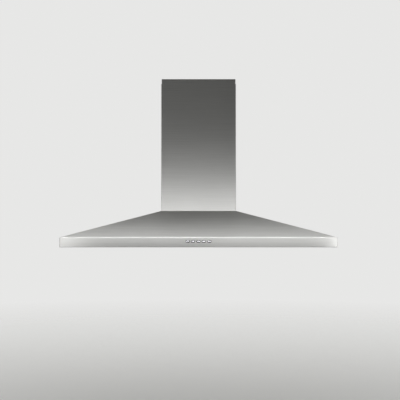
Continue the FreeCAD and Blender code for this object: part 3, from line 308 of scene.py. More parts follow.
def galvanisedSheet():
    # hot dip zinc on steel: crystal spangle about 6 mm across, dull silver
    made, tree, place = newMaterial("galvanisedSheet")
    spangle = addNode(tree, "ShaderNodeTexVoronoi", inputs={"Vector": place, "Scale": 1000 / 6.25})
    tone = addNode(tree, "ShaderNodeValToRGB", inputs={"Fac": spangle.outputs["Color"]})
    setTones(tone.color_ramp, "#a3a6a7", "#b6b9ba")
    bloom = addNode(tree, "ShaderNodeTexNoise", inputs={  # dull flecks 1.1 mm across
        "Vector": place, "Scale": 900, "Detail": 2.0})
    dull = addNode(tree, "ShaderNodeMath", {"operation": "MULTIPLY_ADD"}, {0: bloom, 1: 0.18, 2: 0.34})
    return closeMaterial(made, "ShaderNodeBsdfPrincipled", {
        "Base Color": tone, "Metallic": 1.0, "Roughness": dull})


def mouldedPlastic(name, dark, light, rough, grit, depth):
    # moulded plastic or enamel: even colour, fine grain
    made, tree, fleck, tone = fleckedMaterial(name, grit, 2.0, dark, light)
    relief = addNode(tree, "ShaderNodeBump", inputs={
        "Height": fleck, "Strength": depth, "Distance": 0.2 * mm})
    return closeMaterial(made, "ShaderNodeBsdfPrincipled", {
        "Base Color": tone, "Roughness": rough, "IOR": 1.54, "Normal": relief})


def plainMetal(name, dark, light, rough, grit, uneven=0.14):
    # bare or plated metal: small tonal mottling and uneven polish
    made, tree, fleck, tone = fleckedMaterial(name, grit, 4.0, dark, light, margin=0.3)
    polish = addNode(tree, "ShaderNodeMath", {"operation": "MULTIPLY_ADD"}, {
        0: fleck, 1: uneven, 2: rough - uneven / 2})
    return closeMaterial(made, "ShaderNodeBsdfPrincipled", {
        "Base Color": tone, "Metallic": 1.0, "Roughness": polish})


def frostedGlass():
    # acid etched soda lime glass: milky, soft sheen, no clear view of the lamp
    etch = 1000 / 1200  # real pits are under 0.1 mm, too fine to show, so they are drawn this coarse
    made, tree, fleck, tone = fleckedMaterial("frostedGlass", etch, 2.0, "#dfe4e6", "#f3f5f4")
    relief = addNode(tree, "ShaderNodeBump", inputs={"Height": fleck, "Strength": 0.08, "Distance": 0.2 * mm})
    return closeMaterial(made, "ShaderNodeBsdfPrincipled", {
        "Base Color": tone, "Roughness": 0.38, "IOR": 1.52, "Transmission Weight": 0.35, "Normal": relief})


rimLevel = 42.5  # the canopy's fold, between its band and its slopes
streaks = 1000 / 250  # the grain's streaks are 250 mm long
hairs = 900  # to the metre; real hairs are 0.2 mm wide, too fine to show, so they are drawn 1.1 mm wide
levelGrain = (streaks, streaks, hairs)
panGrain = (streaks, hairs, streaks)  # from left to right on the underside
# the canopy's steel carries a painted highlight along its fold at rimLevel
canopySteel = brushedStainless("brushedStainless", levelGrain, 0.46, rimLevel)
chimneySteel = brushedStainless("brushedStainlessChimney", levelGrain, 0.395)
panSteel = brushedStainless("brushedStainlessPan", panGrain, 0.40)
pullSteel = plainMetal("pressedStainless", "#b3b3b1", "#c6c6c4", 0.3, 5)
turnedSteel = plainMetal("turnedStainless", "#c1c1bf", "#cbcbc9", 0.2, 4, 0.05)
zincSheet = galvanisedSheet()
springSteel = plainMetal("blueTemperedSpringSteel", "#7d7f80", "#989a9a", 0.28, 6)
screwZinc = plainMetal("brightZincScrew", "#b4b8ba", "#d2d5d6", 0.22, 2)
filterAluminium = plainMetal("satinAluminium", "#bfc1c3", "#d6d8d9", 0.36, 9)
meshAluminium = plainMetal("expandedAluminium", "#b4b7b9", "#d0d2d4", 0.32, 14)
castAluminium = plainMetal("dieCastAluminium", "#a6a9ab", "#bec1c3", 0.46, 3)
tinnedBrass = plainMetal("tinnedBrass", "#b9b19c", "#cfc8b5", 0.25, 1)
groundSteel = plainMetal("groundSteel", "#a9a9a8", "#c4c4c2", 0.2, 2)
laminatedIron = plainMetal("laminatedIron", "#6a6763", "#87837e", 0.5, 1)
keyPlating = plainMetal("metallisedAbs", "#b4b5b6", "#babbbc", 0.27, 2.5, 0.02)  # vacuum metallised caps
blackPlastic = mouldedPlastic("blackAbs", "#1b1b1d", "#262628", 0.48, 0.7, 0.12)
greyPlastic = mouldedPlastic("greyAbs", "#6d7074", "#7c7f83", 0.45, 0.8, 0.1)
whitePlastic = mouldedPlastic("whitePolypropylene", "#d9d8d2", "#e6e5e0", 0.3, 1.2, 0.05)
boardGreen = mouldedPlastic("solderMaskLaminate", "#1a5a35", "#237043", 0.3, 1.5, 0.04)
boardWhite = mouldedPlastic("whiteLightBoard", "#e4e0cf", "#f0ecdd", 0.4, 1.5, 0.04)
motorPaint = mouldedPlastic("blackMotorEnamel", "#202124", "#2c2d31", 0.32, 2.5, 0.08)
lampGlass = frostedGlass()
print("materials ready")


# canopy: one folded sheet from the ledge, round the band and up the slopes to the top plate

canopyLow, canopyHigh = span("canopy_shell")
chimneyLow, chimneyHigh = span("chimney_lower")
keyPlaces = [halfway(f"key_{number}") for number in range(1, 6)]
canopy = {
    "half": canopyHigh[0], "depth": -canopyLow[1], "rim": rimLevel, "high": canopyHigh[2],
    "topHalf": chimneyHigh[0], "topDepth": -chimneyLow[1], "topFlange": 20,
    "foldRadius": 4, "footRadius": 1.4, "cornerRadius": 2.6, "innerRadius": 0.8, "rearClear": 1.3,
    "returnWidth": 14, "ledgeHeight": 15, "ledgeWidth": 14, "gauge": 1.0, "edge": 0.25, "holdLine": 0.8,
    "keyPitch": keyPlaces[1][0] - keyPlaces[0][0], "holeLength": 18.8, "holeHeight": 10.2,
}


def canopyStations(c):
    # each row: inset and height at the sides, inset and height at the front, corner radius, rear end
    corner, foot, hold, ledge = c["cornerRadius"], c["footRadius"], c["holdLine"], c["ledgeHeight"]
    width = c["returnWidth"]
    rows = []
    for inset, height in ((width + c["ledgeWidth"], ledge), (width, ledge), (width, 0)):
        rows.append((inset, height, inset, height, c["innerRadius"], c["rearClear"]))
    rows.append((foot * 3, 0, foot * 3, 0, corner, c["rearClear"]))
    for a in quarter(5):
        inset, height = foot * (1 - math.sin(a)), foot * (1 - math.cos(a))
        rows.append((inset, height, inset, height, corner, 0))
    rows.append((0, foot + hold, 0, foot + hold, corner, 0))
    runs = (c["half"] - c["topHalf"], c["depth"] - c["topDepth"])
    turns = [math.pi / 2 - math.atan2(c["high"] - c["rim"], run) for run in runs]
    fold = c["foldRadius"]
    starts = [c["rim"] - fold * math.tan(turn / 2) for turn in turns]
    rows.append((0, starts[0] - hold, 0, starts[1] - hold, corner, 0))
    for i in range(8):
        cells = []
        for turn, start in zip(turns, starts):
            a = turn * i / 7
            cells += [fold * (1 - math.cos(a)), start + fold * math.sin(a)]
        rows.append((*cells, corner, 0))
    below, above = rows[-1][:4], (runs[0], c["high"], runs[1], c["high"])
    for share in (0.008, 0.2, 0.4, 0.6, 0.8, 0.992, 1.0):
        rows.append((*[a + (b - a) * share for a, b in zip(below, above)], corner, 0))
    rows.append((runs[0] + c["topFlange"], c["high"], runs[1] + c["topFlange"], c["high"], corner, 0))
    return rows


def canopyRing(c, row, keyMarks):
    insetSide, heightSide, insetFront, heightFront, radius, rear = row
    side, front = c["half"] - insetSide, c["depth"] - insetFront
    edge, bend = keyMarks[-1], side - radius
    right = [(mark, front, heightFront) for mark in keyMarks]
    right += [(edge + (bend - c["holdLine"] - edge) * i / 6, front, heightFront) for i in range(1, 7)]
    right.append((bend, front, heightFront))
    for i in range(1, 7):
        turn = math.radians(90 * i / 6)
        height = heightFront + (heightSide - heightFront) * i / 6
        right.append((bend + radius * math.sin(turn), front - radius + radius * math.cos(turn), height))
    start = front - radius - c["holdLine"]
    right += [(side, start + (rear - start) * i / 6, heightSide) for i in range(7)]
    left = [(-x, y, z) for x, y, z in reversed(right[1:])]  # the first mark is on the middle line
    return [Vector((x, -y, z)) * mm for x, y, z in left + right]


def makeCanopy(c):
    bm = bmesh.new()
    reach = 2.5 * c["keyPitch"]  # half the patch that the key holes are in
    keyMarks = [reach * i / 10 for i in range(11)]
    stations = canopyStations(c)
    rings = [[bm.verts.new(p) for p in canopyRing(c, row, keyMarks)] for row in stations]
    bandRow = next(i for i, row in enumerate(stations) if row[3] == c["footRadius"] + c["holdLine"])
    patch = []
    for i in range(len(rings) - 1):
        for j in range(len(rings[i]) - 1):
            quad = (rings[i][j], rings[i][j + 1], rings[i + 1][j + 1], rings[i + 1][j])
            middle = (quad[0].co.x + quad[1].co.x) / 2 / mm
            onFront = abs(quad[0].co.y - quad[1].co.y) < 1e-6
            if i == bandRow and onFront and abs(middle) < reach:
                patch.append(quad)
            else:
                bm.faces.new(quad)
    border = [(quad[0], quad[1]) for quad in patch] + [(quad[3], quad[2]) for quad in patch]
    border += [(patch[0][0], patch[0][3]), (patch[-1][1], patch[-1][2])]
    for x, _, level in keyPlaces:
        loops = []
        for margin in (0, c["holdLine"]):
            outline = pillLoop(c["holeLength"] + 2 * margin, c["holeHeight"] + 2 * margin)
            loops.append([bm.verts.new(Vector((x + u, -c["depth"], level + w)) * mm) for u, w in outline])
        hole, outside = loops
        for i in range(len(hole)):
            j = (i + 1) % len(hole)
            bm.faces.new((hole[i], outside[i], outside[j], hole[j]))
            border.append((outside[i], outside[j]))
    edges = [bm.edges.get(pair) for pair in border]
    filled = bmesh.ops.triangle_fill(bm, use_beauty=True, use_dissolve=False, edges=edges, normal=(0, -1, 0))
    for face in (f for f in filled["geom"] if isinstance(f, bmesh.types.BMFace)):
        if face.normal.y > 0:
            face.normal_flip()
    bm.normal_update()
    return sheetMetal(newObject("canopySheet", bm, canopySteel), c["gauge"], c["edge"])


canopySheet = stands(makeCanopy(canopy), "hood", "brushed_stainless", "canopy_shell")
print("canopy folded", len(canopySheet.data.polygons))


# chimney covers: two folded channels, open at the wall

coverFold = {"bend": 2.5, "flange": 16, "flangeBend": 1.2, "gauge": 1.0, "edge": 0.3, "holdLine": 1.0}


def coverSizes(node):
    low, high = span(node)
    return coverFold | {"half": high[0], "front": -low[1], "back": -high[1], "low": low[2], "high": high[2]}


lowerCover = coverSizes("chimney_lower")
upperCover = coverSizes("chimney_upper") | {"notch": lowerCover["high"]}  # no wall flanges above this


def makeCover(name, c):
    half, front, back, bend = c["half"], c["front"], c["back"], c["bend"]
    lip, hold = c["flangeBend"], c["holdLine"]
    right = [(0, front), (half - bend - hold, front)]
    for a in quarter(8):  # front corner
        right.append((half - bend * (1 - math.sin(a)), front - bend * (1 - math.cos(a))))
    start, end = front - bend - hold, back + lip + hold
    right += [(half, start + (end - start) * i / 8) for i in range(9)]
    corner = len(right)
    for a in quarter(3):  # bend of the wall flange
        right.append((half - lip * (1 - math.cos(a)), back + lip * (1 - math.sin(a))))
    right += [(half - lip - hold, back), (half - c["flange"], back)]
    path = [(-x, y) for x, y in reversed(right[1:])] + right
    foot, top = c["low"] + hold, c["high"] - hold
    notch = c.get("notch", c["high"])
    levels = sorted({c["low"], c["high"], notch, *(foot + (top - foot) * i / 12 for i in range(13))})
    bm = bmesh.new()
    rings = [[bm.verts.new(Vector((x, -y, z)) * mm) for x, y in path] for z in levels]
    tail = len(right) - 1 - corner  # points of a flange
    for low, high, level in zip(rings, rings[1:], levels):
        cut = tail if level >= notch else 0
        for j in range(cut, len(path) - 1 - cut):
            bm.faces.new((low[j], low[j + 1], high[j + 1], high[j]))
    bmesh.ops.delete(bm, geom=[v for v in bm.verts if not v.link_faces], context="VERTS")
    bm.normal_update()
    return sheetMetal(newObject(name, bm, chimneySteel), c["gauge"], c["edge"])


stands(makeCover("chimneyCoverLower", lowerCover), "hood", "brushed_stainless", "chimney_lower")
stands(makeCover("chimneyCoverUpper", upperCover), "upper_section", "brushed_stainless", "chimney_upper")
print("chimney folded")


# push keys: crowned caps on collars and stems

pushKey = {
    "collar": 1.5, "collarGauge": 1.5, "stand": 3.2, "stem": 5.0, "edge": 0.5, "crown": 0.15,
    "crownRows": ((1.4, 0.6), (2.4, 0.25), (3.3, 0.0)),  # inset, share of the crown that is still to rise
}


def makeKey(number, k):
    low, high = span(f"key_{number}")
    x, _, level = keyPlaces[number - 1]
    face, back = low[1], high[1]
    flangeLength, flangeHeight = high[0] - low[0], high[2] - low[2]
    length, height = flangeLength - 2 * k["collar"], flangeHeight - 2 * k["collar"]
    flangeFront = face + k["stand"]
    flangeBack = flangeFront + k["collarGauge"]
    rows = [  # length, height and place of each outline
        (k["stem"], k["stem"], back), (k["stem"], k["stem"], flangeBack),
        (flangeLength, flangeHeight, flangeBack), (flangeLength, flangeHeight, flangeFront),
        (length, height, flangeFront),
    ]
    for a in quarter(4):
        inset, drop = k["edge"] * (1 - math.cos(a)), k["edge"] * (1 - math.sin(a))
        rows.append((length - 2 * inset, height - 2 * inset, face + k["crown"] + drop))
    for inset, share in k["crownRows"]:
        rows.append((length - 2 * inset, height - 2 * inset, face + k["crown"] * share))
    bm = bmesh.new()
    capped(bm, [[Vector((x + u, y, level + w)) for u, w in pillLoop(wide, tall)] for wide, tall, y in rows])
    bmesh.ops.remove_doubles(bm, verts=bm.verts, dist=1e-7)
    bmesh.ops.recalc_face_normals(bm, faces=bm.faces)
    platedTo = (face + k["crown"] + k["edge"]) * mm
    for part in bm.faces:  # plated face, black body
        part.material_index = 1 if part.calc_center_median().y > platedTo else 0
    key = newObject(f"pushKey{number}", bm, keyPlating, 40)
    key.data.materials.append(blackPlastic)
    return key


for number in range(1, 6):
    stands(makeKey(number, pushKey), f"key_{number}", "silver_key_plastic", f"key_{number}")
print("keys moulded")


# grease filters: mitred aluminium rails round three layers of expanded sheet, a hemmed pull tab

greaseFilter = {
    "rail": 12, "mitreGap": 0.25, "pinRadius": 2.0, "pinReach": 8, "pinRoot": 4, "pinChamfer": 0.6,
    "longWay": 12.0, "shortWay": 7.0, "strand": 1.0, "gauge": 0.5, "overlap": 0.6, "tuck": 1,
    "layers": 3, "lowSheet": 16.0, "layerGap": 3.0, "sheetShift": -1.5,
    "pullCorner": 6, "bead": 1.0, "pullGauge": 0.8,
}


def filterSizes(side):
    low, high = span(f"filter_frame_{side}")
    pullLow, pullHigh = span(f"filter_pull_{side}")
    pin = pivots[f"filter_{side}_swing"]
    return greaseFilter | {
        "middle": pin[0], "pin": pin, "half": high[0] - pin[0] - greaseFilter["pinReach"],
        "front": low[1], "back": high[1], "low": low[2], "high": high[2],
        "pullHalf": pullHigh[0] - pin[0], "pullAt": (pullLow[1] + pullHigh[1]) / 2, "pullFoot": pullLow[2],
    }


def makeRails(name, f):
    low, high, r = f["low"], f["high"], f["rail"]
    section = [
        (0, low + 1.2), (0.35, low + 0.35), (1.2, low), (4.4, low), (5.0, low + 0.5), (6.8, low + 0.5),
        (7.4, low), (r - 1.4, low), (r - 0.5, low + 0.25), (r, low + 0.9), (r, high - 0.9),
        (r - 0.5, high - 0.25), (r - 1.4, high), (1.2, high), (0.35, high - 0.35), (0, high - 1.2),
    ]
    x0, x1, g = f["middle"] - f["half"], f["middle"] + f["half"], f["mitreGap"] / 2
    y0, y1 = f["front"], f["back"]
    runs = (  # mitred ends of each rail at an inset u
        (lambda u: (x0 + u + g, y0 + u), lambda u: (x1 - u - g, y0 + u)),
        (lambda u: (x1 - u, y0 + u + g), lambda u: (x1 - u, y1 - u - g)),
        (lambda u: (x1 - u - g, y1 - u), lambda u: (x0 + u + g, y1 - u)),
        (lambda u: (x0 + u, y1 - u - g), lambda u: (x0 + u, y0 + u + g)),
    )
    bm = bmesh.new()
    for ends in runs:
        capped(bm, [[Vector((*end(u), z)) for u, z in section] for end in ends])
    q, ease, root, tip = f["pinRadius"], f["pinChamfer"], f["half"] - f["pinRoot"], f["half"] + f["pinReach"]
    pin = [(0, root), (q, root), (q, tip - ease), (q - ease, tip), (0, tip)]
    for sign in (-1, 1):
        lathe(bm, [(radius, height * sign) for radius, height in pin], f["pin"], "X", 20)
    return newObject(name, bm, filterAluminium, 28)


def expandedTree():
    tree, have = newTree("expandedSheet", {
        "Strand": "Float", "Gauge": "Float", "Corners": "Int", "First Corner": "Vector", "Leg": "Vector",
        "Swing": "Vector", "Strands": "Int", "First Strand": "Vector", "Pitch": "Vector",
        "Layers": "Int", "Centre": "Vector", "Layer Step": "Vector", "Sheet": "Material",
    })
    index = addNode(tree, "GeometryNodeInputIndex")
    odd = addNode(tree, "ShaderNodeMath", {"operation": "FLOORED_MODULO"}, {0: index, 1: 2.0})
    # one strand: a strip along a zigzag
    line = addNode(tree, "GeometryNodeMeshLine", inputs={
        "Count": have["Corners"], "Start Location": have["First Corner"], "Offset": have["Leg"]})
    swing = addNode(tree, "ShaderNodeVectorMath", {"operation": "SCALE"}, {0: have["Swing"], "Scale": odd})
    zigzag = addNode(tree, "GeometryNodeSetPosition", inputs={"Geometry": line, "Offset": swing})
    curve = addNode(tree, "GeometryNodeMeshToCurve", inputs={0: zigzag})
    strip = addNode(tree, "GeometryNodeCurvePrimitiveQuadrilateral", inputs={
        "Width": have["Strand"], "Height": have["Gauge"]})
    strand = addNode(tree, "GeometryNodeCurveToMesh", inputs={
        "Curve": curve, "Profile Curve": strip, "Fill Caps": True})
    # a sheet: strands side by side, every second one a leg further on
    row = addNode(tree, "GeometryNodeMeshLine", inputs={
        "Count": have["Strands"], "Start Location": have["First Strand"], "Offset": have["Pitch"]})
    shift = addNode(tree, "ShaderNodeVectorMath", {"operation": "SCALE"}, {0: have["Leg"], "Scale": odd})
    shifted = addNode(tree, "GeometryNodeSetPosition", inputs={"Geometry": row, "Offset": shift})
    sheet = addNode(tree, "GeometryNodeInstanceOnPoints", inputs={"Points": shifted, "Instance": strand})
    # layers, each off register with the one below
    stack = addNode(tree, "GeometryNodeMeshLine", inputs={
        "Count": have["Layers"], "Start Location": have["Centre"], "Offset": have["Layer Step"]})
    layers = addNode(tree, "GeometryNodeInstanceOnPoints", inputs={"Points": stack, "Instance": sheet})
    return closeTree(tree, layers, have["Sheet"])


def makeMesh(name, f, tree):
    width, length = 2 * (f["half"] - f["rail"]), f["back"] - f["front"] - 2 * (f["rail"] - f["tuck"])
    leg, pitch = f["longWay"] / 2, f["shortWay"] / 2
    swing, strands = pitch - f["strand"] * f["overlap"], int(width / pitch)
    vectors = {
        "First Corner": (-swing / 2, -length / 2, 0), "Leg": (0, leg, 0), "Swing": (swing, 0, 0),
        "First Strand": ((1 - strands) * pitch / 2, 0, 0), "Pitch": (pitch, 0, 0),
        "Centre": (f["middle"] + f["sheetShift"], (f["front"] + f["back"]) / 2, f["lowSheet"]),
        "Layer Step": (pitch / 2, -leg / 2, f["layerGap"]),
    }
    values = {label: [v * mm for v in vector] for label, vector in vectors.items()}
    values |= {"Corners": round(length / leg), "Strands": strands, "Layers": f["layers"]}
    values |= {"Strand": f["strand"] * mm, "Gauge": f["gauge"] * mm, "Sheet": meshAluminium}
    return grow(newObject(name, bmesh.new(), meshAluminium), tree, values)


def makePull(name, f):
    reach, corner = f["pullHalf"] - f["bead"], f["pullCorner"] - f["bead"]
    foot = f["pullFoot"] + f["bead"]
    edge = [(-reach, f["low"])]
    for i in range(9):
        a = math.radians(180 + 90 * i / 8)
        edge.append((-reach + corner + corner * math.cos(a), foot + corner + corner * math.sin(a)))
    edge += [(-x, z) for x, z in reversed(edge)]
    line = [Vector((f["middle"] + x, f["pullAt"], z)) for x, z in edge]
    half = Vector((0, f["pullGauge"] / 2, 0))
    bm = bmesh.new()
    capped(bm, [[p - half for p in line], [p + half for p in line]])
    tube(bm, line, f["bead"])
    return newObject(name, bm, pullSteel, 40)


sheetTree = expandedTree()
for side in ("left", "middle", "right"):
    f, body, mark = filterSizes(side), f"filter_{side}", side.capitalize()
    stands(makeRails(f"filterRails{mark}", f), body, "filter_aluminium", f"filter_frame_{side}")
    layers = makeMesh(f"filterMesh{mark}", f, sheetTree)
    stands(layers, body, "filter_aluminium", f"filter_mesh_{side}")
    stands(makePull(f"filterPull{mark}", f), body, "brushed_stainless", f"filter_pull_{side}")
    print("filter", side, len(layers.data.polygons))


# lamps: turned rings with a rounded flange, ribbed frosted glass

lampSet = {"neck": 29.7, "bore": 27.5, "lip": 24, "glassGauge": 2, "ribs": 7, "ribDepth": 0.22, "dish": 0.3}


def lampSizes(side):
    low, high = span(f"lamp_ring_{side}")
    return lampSet | {
        "centre": ((low[0] + high[0]) / 2, (low[1] + high[1]) / 2, 0), "flange": (high[0] - low[0]) / 2,
        "drop": low[2], "neckTop": high[2], "seat": span(f"lamp_glass_{side}")[0][2],
    }


def makeLampRing(name, c):
    flange, lip, bore, drop, seat = c["flange"], c["lip"], c["bore"], c["drop"], c["seat"]
    profile = [
        (c["neck"], c["neckTop"]), (c["neck"], seat), (flange, seat), (flange, drop + 1.0),
        (flange - 0.3, drop + 0.45), (flange - 0.9, drop + 0.1), (flange - 1.8, drop), (lip + 4.6, drop),
        (lip + 3.9, drop + 0.12), (lip + 3.4, drop + 0.45), (lip + 0.5, drop + 1.2), (lip + 0.1, drop + 1.45),
        (lip, seat), (bore, seat), (bore, c["neckTop"]),
    ]
    bm = bmesh.new()
    lathe(bm, profile, c["centre"], steps=72, ring=True)
    return newObject(name, bm, turnedSteel, 30)


def makeLampGlass(name, c):
    lip, bore, seat, top = c["lip"], c["bore"], c["seat"], c["seat"] + c["glassGauge"]
    profile = [(0, top), (bore, top), (bore, seat + 0.3), (bore - 0.3, seat), (lip, seat)]
    steps = c["ribs"] * 4
    for i in range(steps, -1, -1):  # prism ribs on the dished lower face
        share = i / steps
        rib = c["ribDepth"] if i % 4 == 2 else 0.0
        profile.append(((lip - 0.6) * share, seat + 0.12 + c["dish"] * share * share + rib))
    bm = bmesh.new()
    lathe(bm, profile, c["centre"], steps=72)
    return newObject(name, bm, lampGlass, 50)


for side in ("left", "right"):
    c, mark = lampSizes(side), side.capitalize()
    stands(makeLampRing(f"lampRing{mark}", c), "hood", "lamp_aluminium", f"lamp_ring_{side}")
    stands(makeLampGlass(f"lampGlass{mark}", c), "hood", "lamp_glass", f"lamp_glass_{side}")
print("lamps turned")


# blower casing: folded zinc sheet with pressed panels and ribs, open below, throat above

flange = 10
low, high = span("blower_box")
casing = {
    "half": high[0] - flange, "front": low[1] + flange, "back": high[1] - flange,
    "low": low[2], "high": high[2], "flange": flange, "throat": 70, "gauge": 1.0, "edge": 0.25,
    "corner": 4, "topBend": 3, "footBend": 2, "holdLine": 0.8, "step": 3.5,
    "margin": 26, "depth": 2.0, "ramp": 9,  # pressed panels
    "ribHalf": 8, "ribDepth": 2.0, "ribInset": 46, "ribLevels": (226, 289, 352),
}


def pressedDepth(c, x, y, z):  # how far a point of the casing wall is pressed in
    middle = (c["front"] + c["back"]) / 2
    acrossX, acrossY = c["half"] - abs(x), (c["back"] - c["front"]) / 2 - abs(y - middle)
    side = max(acrossX, acrossY)  # along the wall to its nearer corner
    rise = min(z - c["low"], c["high"] - z)
    panel = smoothStep((min(side, rise) - c["margin"]) / c["ramp"])
    rib = max(smoothStep(1 - abs(z - level) / c["ribHalf"]) for level in c["ribLevels"])
    return c["depth"] * panel - c["ribDepth"] * rib * smoothStep((side - c["ribInset"]) / c["ramp"])


def casingRows(c):  # inset and height of each ring, from the flange's edge to the top plate
    hold, foot, bend = c["holdLine"], c["footBend"], c["topBend"]
    base = c["low"] + c["gauge"]
    rows = [(-c["flange"], base), (-c["flange"] + hold, base), (-foot - hold, base)]
    rows += [(foot * (math.sin(a) - 1), base + foot * (1 - math.cos(a))) for a in quarter(5)]
    start, end = base + foot + hold, c["high"] - bend - hold
    count = round((end - start) / c["step"])
    rows += [(0, start + (end - start) * i / count) for i in range(count + 1)]
    rows += [(bend * (1 - math.cos(a)), c["high"] - bend * (1 - math.sin(a))) for a in quarter(5)]
    return rows


def makeCasing(c):
    middle = Vector((0, (c["front"] + c["back"]) / 2))
    half = (c["half"], (c["back"] - c["front"]) / 2)
    onWall = [h - 0.01 for h in half]
    rings = []
    for inset, z in casingRows(c):
        ring = []
        for p in roundedRing(middle, [h - inset for h in half], max(0.6, c["corner"] - inset), (72, 58)):
            press = pressedDepth(c, p.x, p.y, z) if inset == 0 else 0.0
            if abs(p.x) > onWall[0]:
                p.x -= math.copysign(press, p.x)
            elif abs(p.y - middle.y) > onWall[1]:
                p.y -= math.copysign(press, p.y - middle.y)
            ring.append(Vector((p.x, p.y, z)))
        rings.append(ring)
    brim = rings[-1]
    throat = [middle + (p.xy - middle).normalized() * c["throat"] for p in brim]
    for share in (0.03, 0.3, 0.6, 0.85, 0.97, 1.0):  # top plate, from the brim to the round throat
        rings.append([p.lerp(Vector((q.x, q.y, c["high"])), share) for p, q in zip(brim, throat)])
    bm = bmesh.new()
    skin(bm, [[bm.verts.new(p * mm) for p in ring] for ring in rings])
    bm.normal_update()
    return sheetMetal(newObject("blowerCasing", bm, zincSheet), c["gauge"], c["edge"])


blowerCasing = stands(makeCasing(casing), "hood", "zinc_plated_steel", "blower_box")
print("casing pressed", len(blowerCasing.data.polygons))


# back panel: flat zinc sheet with windows for the wall hooks and pressed beads

low, high = span("back_panel")
drop, clear = canopy["high"] - high[2], canopy["half"] - high[0]  # how far it stays inside the canopy
backSheet = {
    "half": high[0], "high": high[2], "rim": canopy["rim"] - drop, "topHalf": canopy["topHalf"] - clear,
    "gauge": 1.0, "edge": 0.2, "step": (4.5, 3.0),
    "window": (223, 277, 40, 87),  # near and far side, low and high edge
    "flangeHalf": 571.7, "flangeReach": -low[1], "flangeLevel": 15, "flangeEdge": 0.25,
    "beadHalf": 6.5, "beadDepth": 1.8, "beadCrest": 1.15,
    "beads": (  # left end, right end and level
        (-540, 540, 24), (-190, 190, 63), (310, 440, 57), (-440, -310, 57), (-240, 240, 115),
    ),
}


def beadDepth(c, x, z):
    nearest = min(math.hypot(x - min(max(x, x0), x1), z - level) for x0, x1, level in c["beads"])
    return c["beadDepth"] * smoothStep(c["beadCrest"] - nearest / c["beadHalf"])


def gridLines(marks, step):
    lines = []
    for a, b in zip(marks, marks[1:]):
        count = max(1, round((b - a) / step))
        lines += [a + (b - a) * i / count for i in range(count)]
    return lines + [marks[-1]]


def makeBackPanel(c):
    near, far, low, high = c["window"]
    xs = gridLines((-c["half"], -far, -near, near, far, c["half"]), c["step"][0])
    zs = gridLines((0, low, high, c["high"]), c["step"][1])
    bm = bmesh.new()
    grid = [[bm.verts.new(Vector((x, -beadDepth(c, x, z), z)) * mm) for x in xs] for z in zs]
    for i in range(len(zs) - 1):
        for j in range(len(xs) - 1):
            x, z = (xs[j] + xs[j + 1]) / 2, (zs[i] + zs[i + 1]) / 2
            if not (near < abs(x) < far and low < z < high):
                bm.faces.new((grid[i][j], grid[i + 1][j], grid[i + 1][j + 1], grid[i][j + 1]))
    for sign in (-1, 1):  # follow the canopy slopes
        corner = Vector((sign * c["half"], 0, c["rim"])) * mm
        slope = (sign * (c["high"] - c["rim"]), 0, c["half"] - c["topHalf"])
        everything = bm.verts[:] + bm.edges[:] + bm.faces[:]
        bmesh.ops.bisect_plane(bm, geom=everything, plane_co=corner, plane_no=slope, clear_outer=True)
    bmesh.ops.delete(bm, geom=[v for v in bm.verts if not v.link_faces], context="VERTS")
    bmesh.ops.remove_doubles(bm, verts=bm.verts, dist=0.3 * mm)
    bmesh.ops.dissolve_degenerate(bm, dist=0.05 * mm, edges=bm.edges)
    bm.normal_update()
    panel = sheetMetal(newObject("backPanel", bm, zincSheet), c["gauge"], c["edge"])
    ease, y0, y1 = c["flangeEdge"], -c["flangeReach"], -c["gauge"]
    z0, z1 = c["flangeLevel"], c["flangeLevel"] + c["gauge"]
    section = [(y0, z0 + ease), (y0 + ease, z0), (y1, z0), (y1, z1), (y0 + ease, z1), (y0, z1 - ease)]
    bm = bmesh.new()
    bm.from_mesh(panel.data)
    capped(bm, [[Vector((end * c["flangeHalf"], y, z)) for y, z in section] for end in (-1, 1)])
    bm.to_mesh(panel.data)
    bm.free()
    shade(panel.data, 32)
    return panel


backPanel = stands(makeBackPanel(backSheet), "hood", "zinc_plated_steel", "back_panel")
print("back panel pressed", len(backPanel.data.polygons))


# duct collar: moulded spigot with two grip grooves and the stop ring of the damper

low, high = span("duct_spigot")
ductAxis = pivots["flap_front_swing"][:2]
collar = {
    "foot": low[2], "length": high[2] - low[2], "flange": high[0] - ductAxis[0], "flangeGauge": 2,
    "throat": casing["throat"], "out": 74, "bore": 71.5, "stop": 67, "stopHigh": 17, "stopGauge": 2,
    "groove": 0.9, "grooves": (36, 46),
}


def makeCollar(c):
    g, out, bore, top, flange = c["flangeGauge"], c["out"], c["bore"], c["length"], c["flange"]
    profile = [
        (c["throat"], 0), (flange - 0.5, 0), (flange, 0.5), (flange, g - 0.5), (flange - 0.5, g),
        (out + 2.2, g), (out + 1.0, g + 0.3), (out + 0.3, g + 1.0), (out, g + 2.2),
    ]
    for level in c["grooves"]:
        for share, height in ((0, -2.4), (0.8, -1.4), (1, 0), (0.8, 1.4), (0, 2.4)):
            profile.append((out - c["groove"] * share, level + height))
    stop, stopHigh, stopLow = c["stop"], c["stopHigh"], c["stopHigh"] - c["stopGauge"]
    profile += [
        (out, top - 1.0), (out - 0.3, top - 0.3), (out - 0.9, top), (bore + 0.6, top),
        (bore + 0.15, top - 0.2), (bore, top - 0.7), (bore, stopHigh), (stop, stopHigh), (stop, stopLow),
        (bore, stopLow), (bore, g), (c["throat"], g),
    ]
    bm = bmesh.new()
    lathe(bm, profile, (*ductAxis, c["foot"]), steps=112, ring=True)
    return newObject("ductCollar", bm, blackPlastic, 30)


stands(makeCollar(collar), "hood", "black_plastic", "duct_spigot")


# motor capacitor: white can with a rolled rim and two tinned tabs

radius = 18
low, high = span("run_capacitor")
capacitorCan = {
    "middle": (high[0] - radius, (low[1] + high[1]) / 2), "radius": radius,
    "foot": low[2], "rim": high[2] - 6, "well": high[2] - 8.5,
    "tabTop": high[2], "tabHalf": 3.15, "tabGauge": 0.8, "tabGap": 7, "tabCut": 1.2,
}


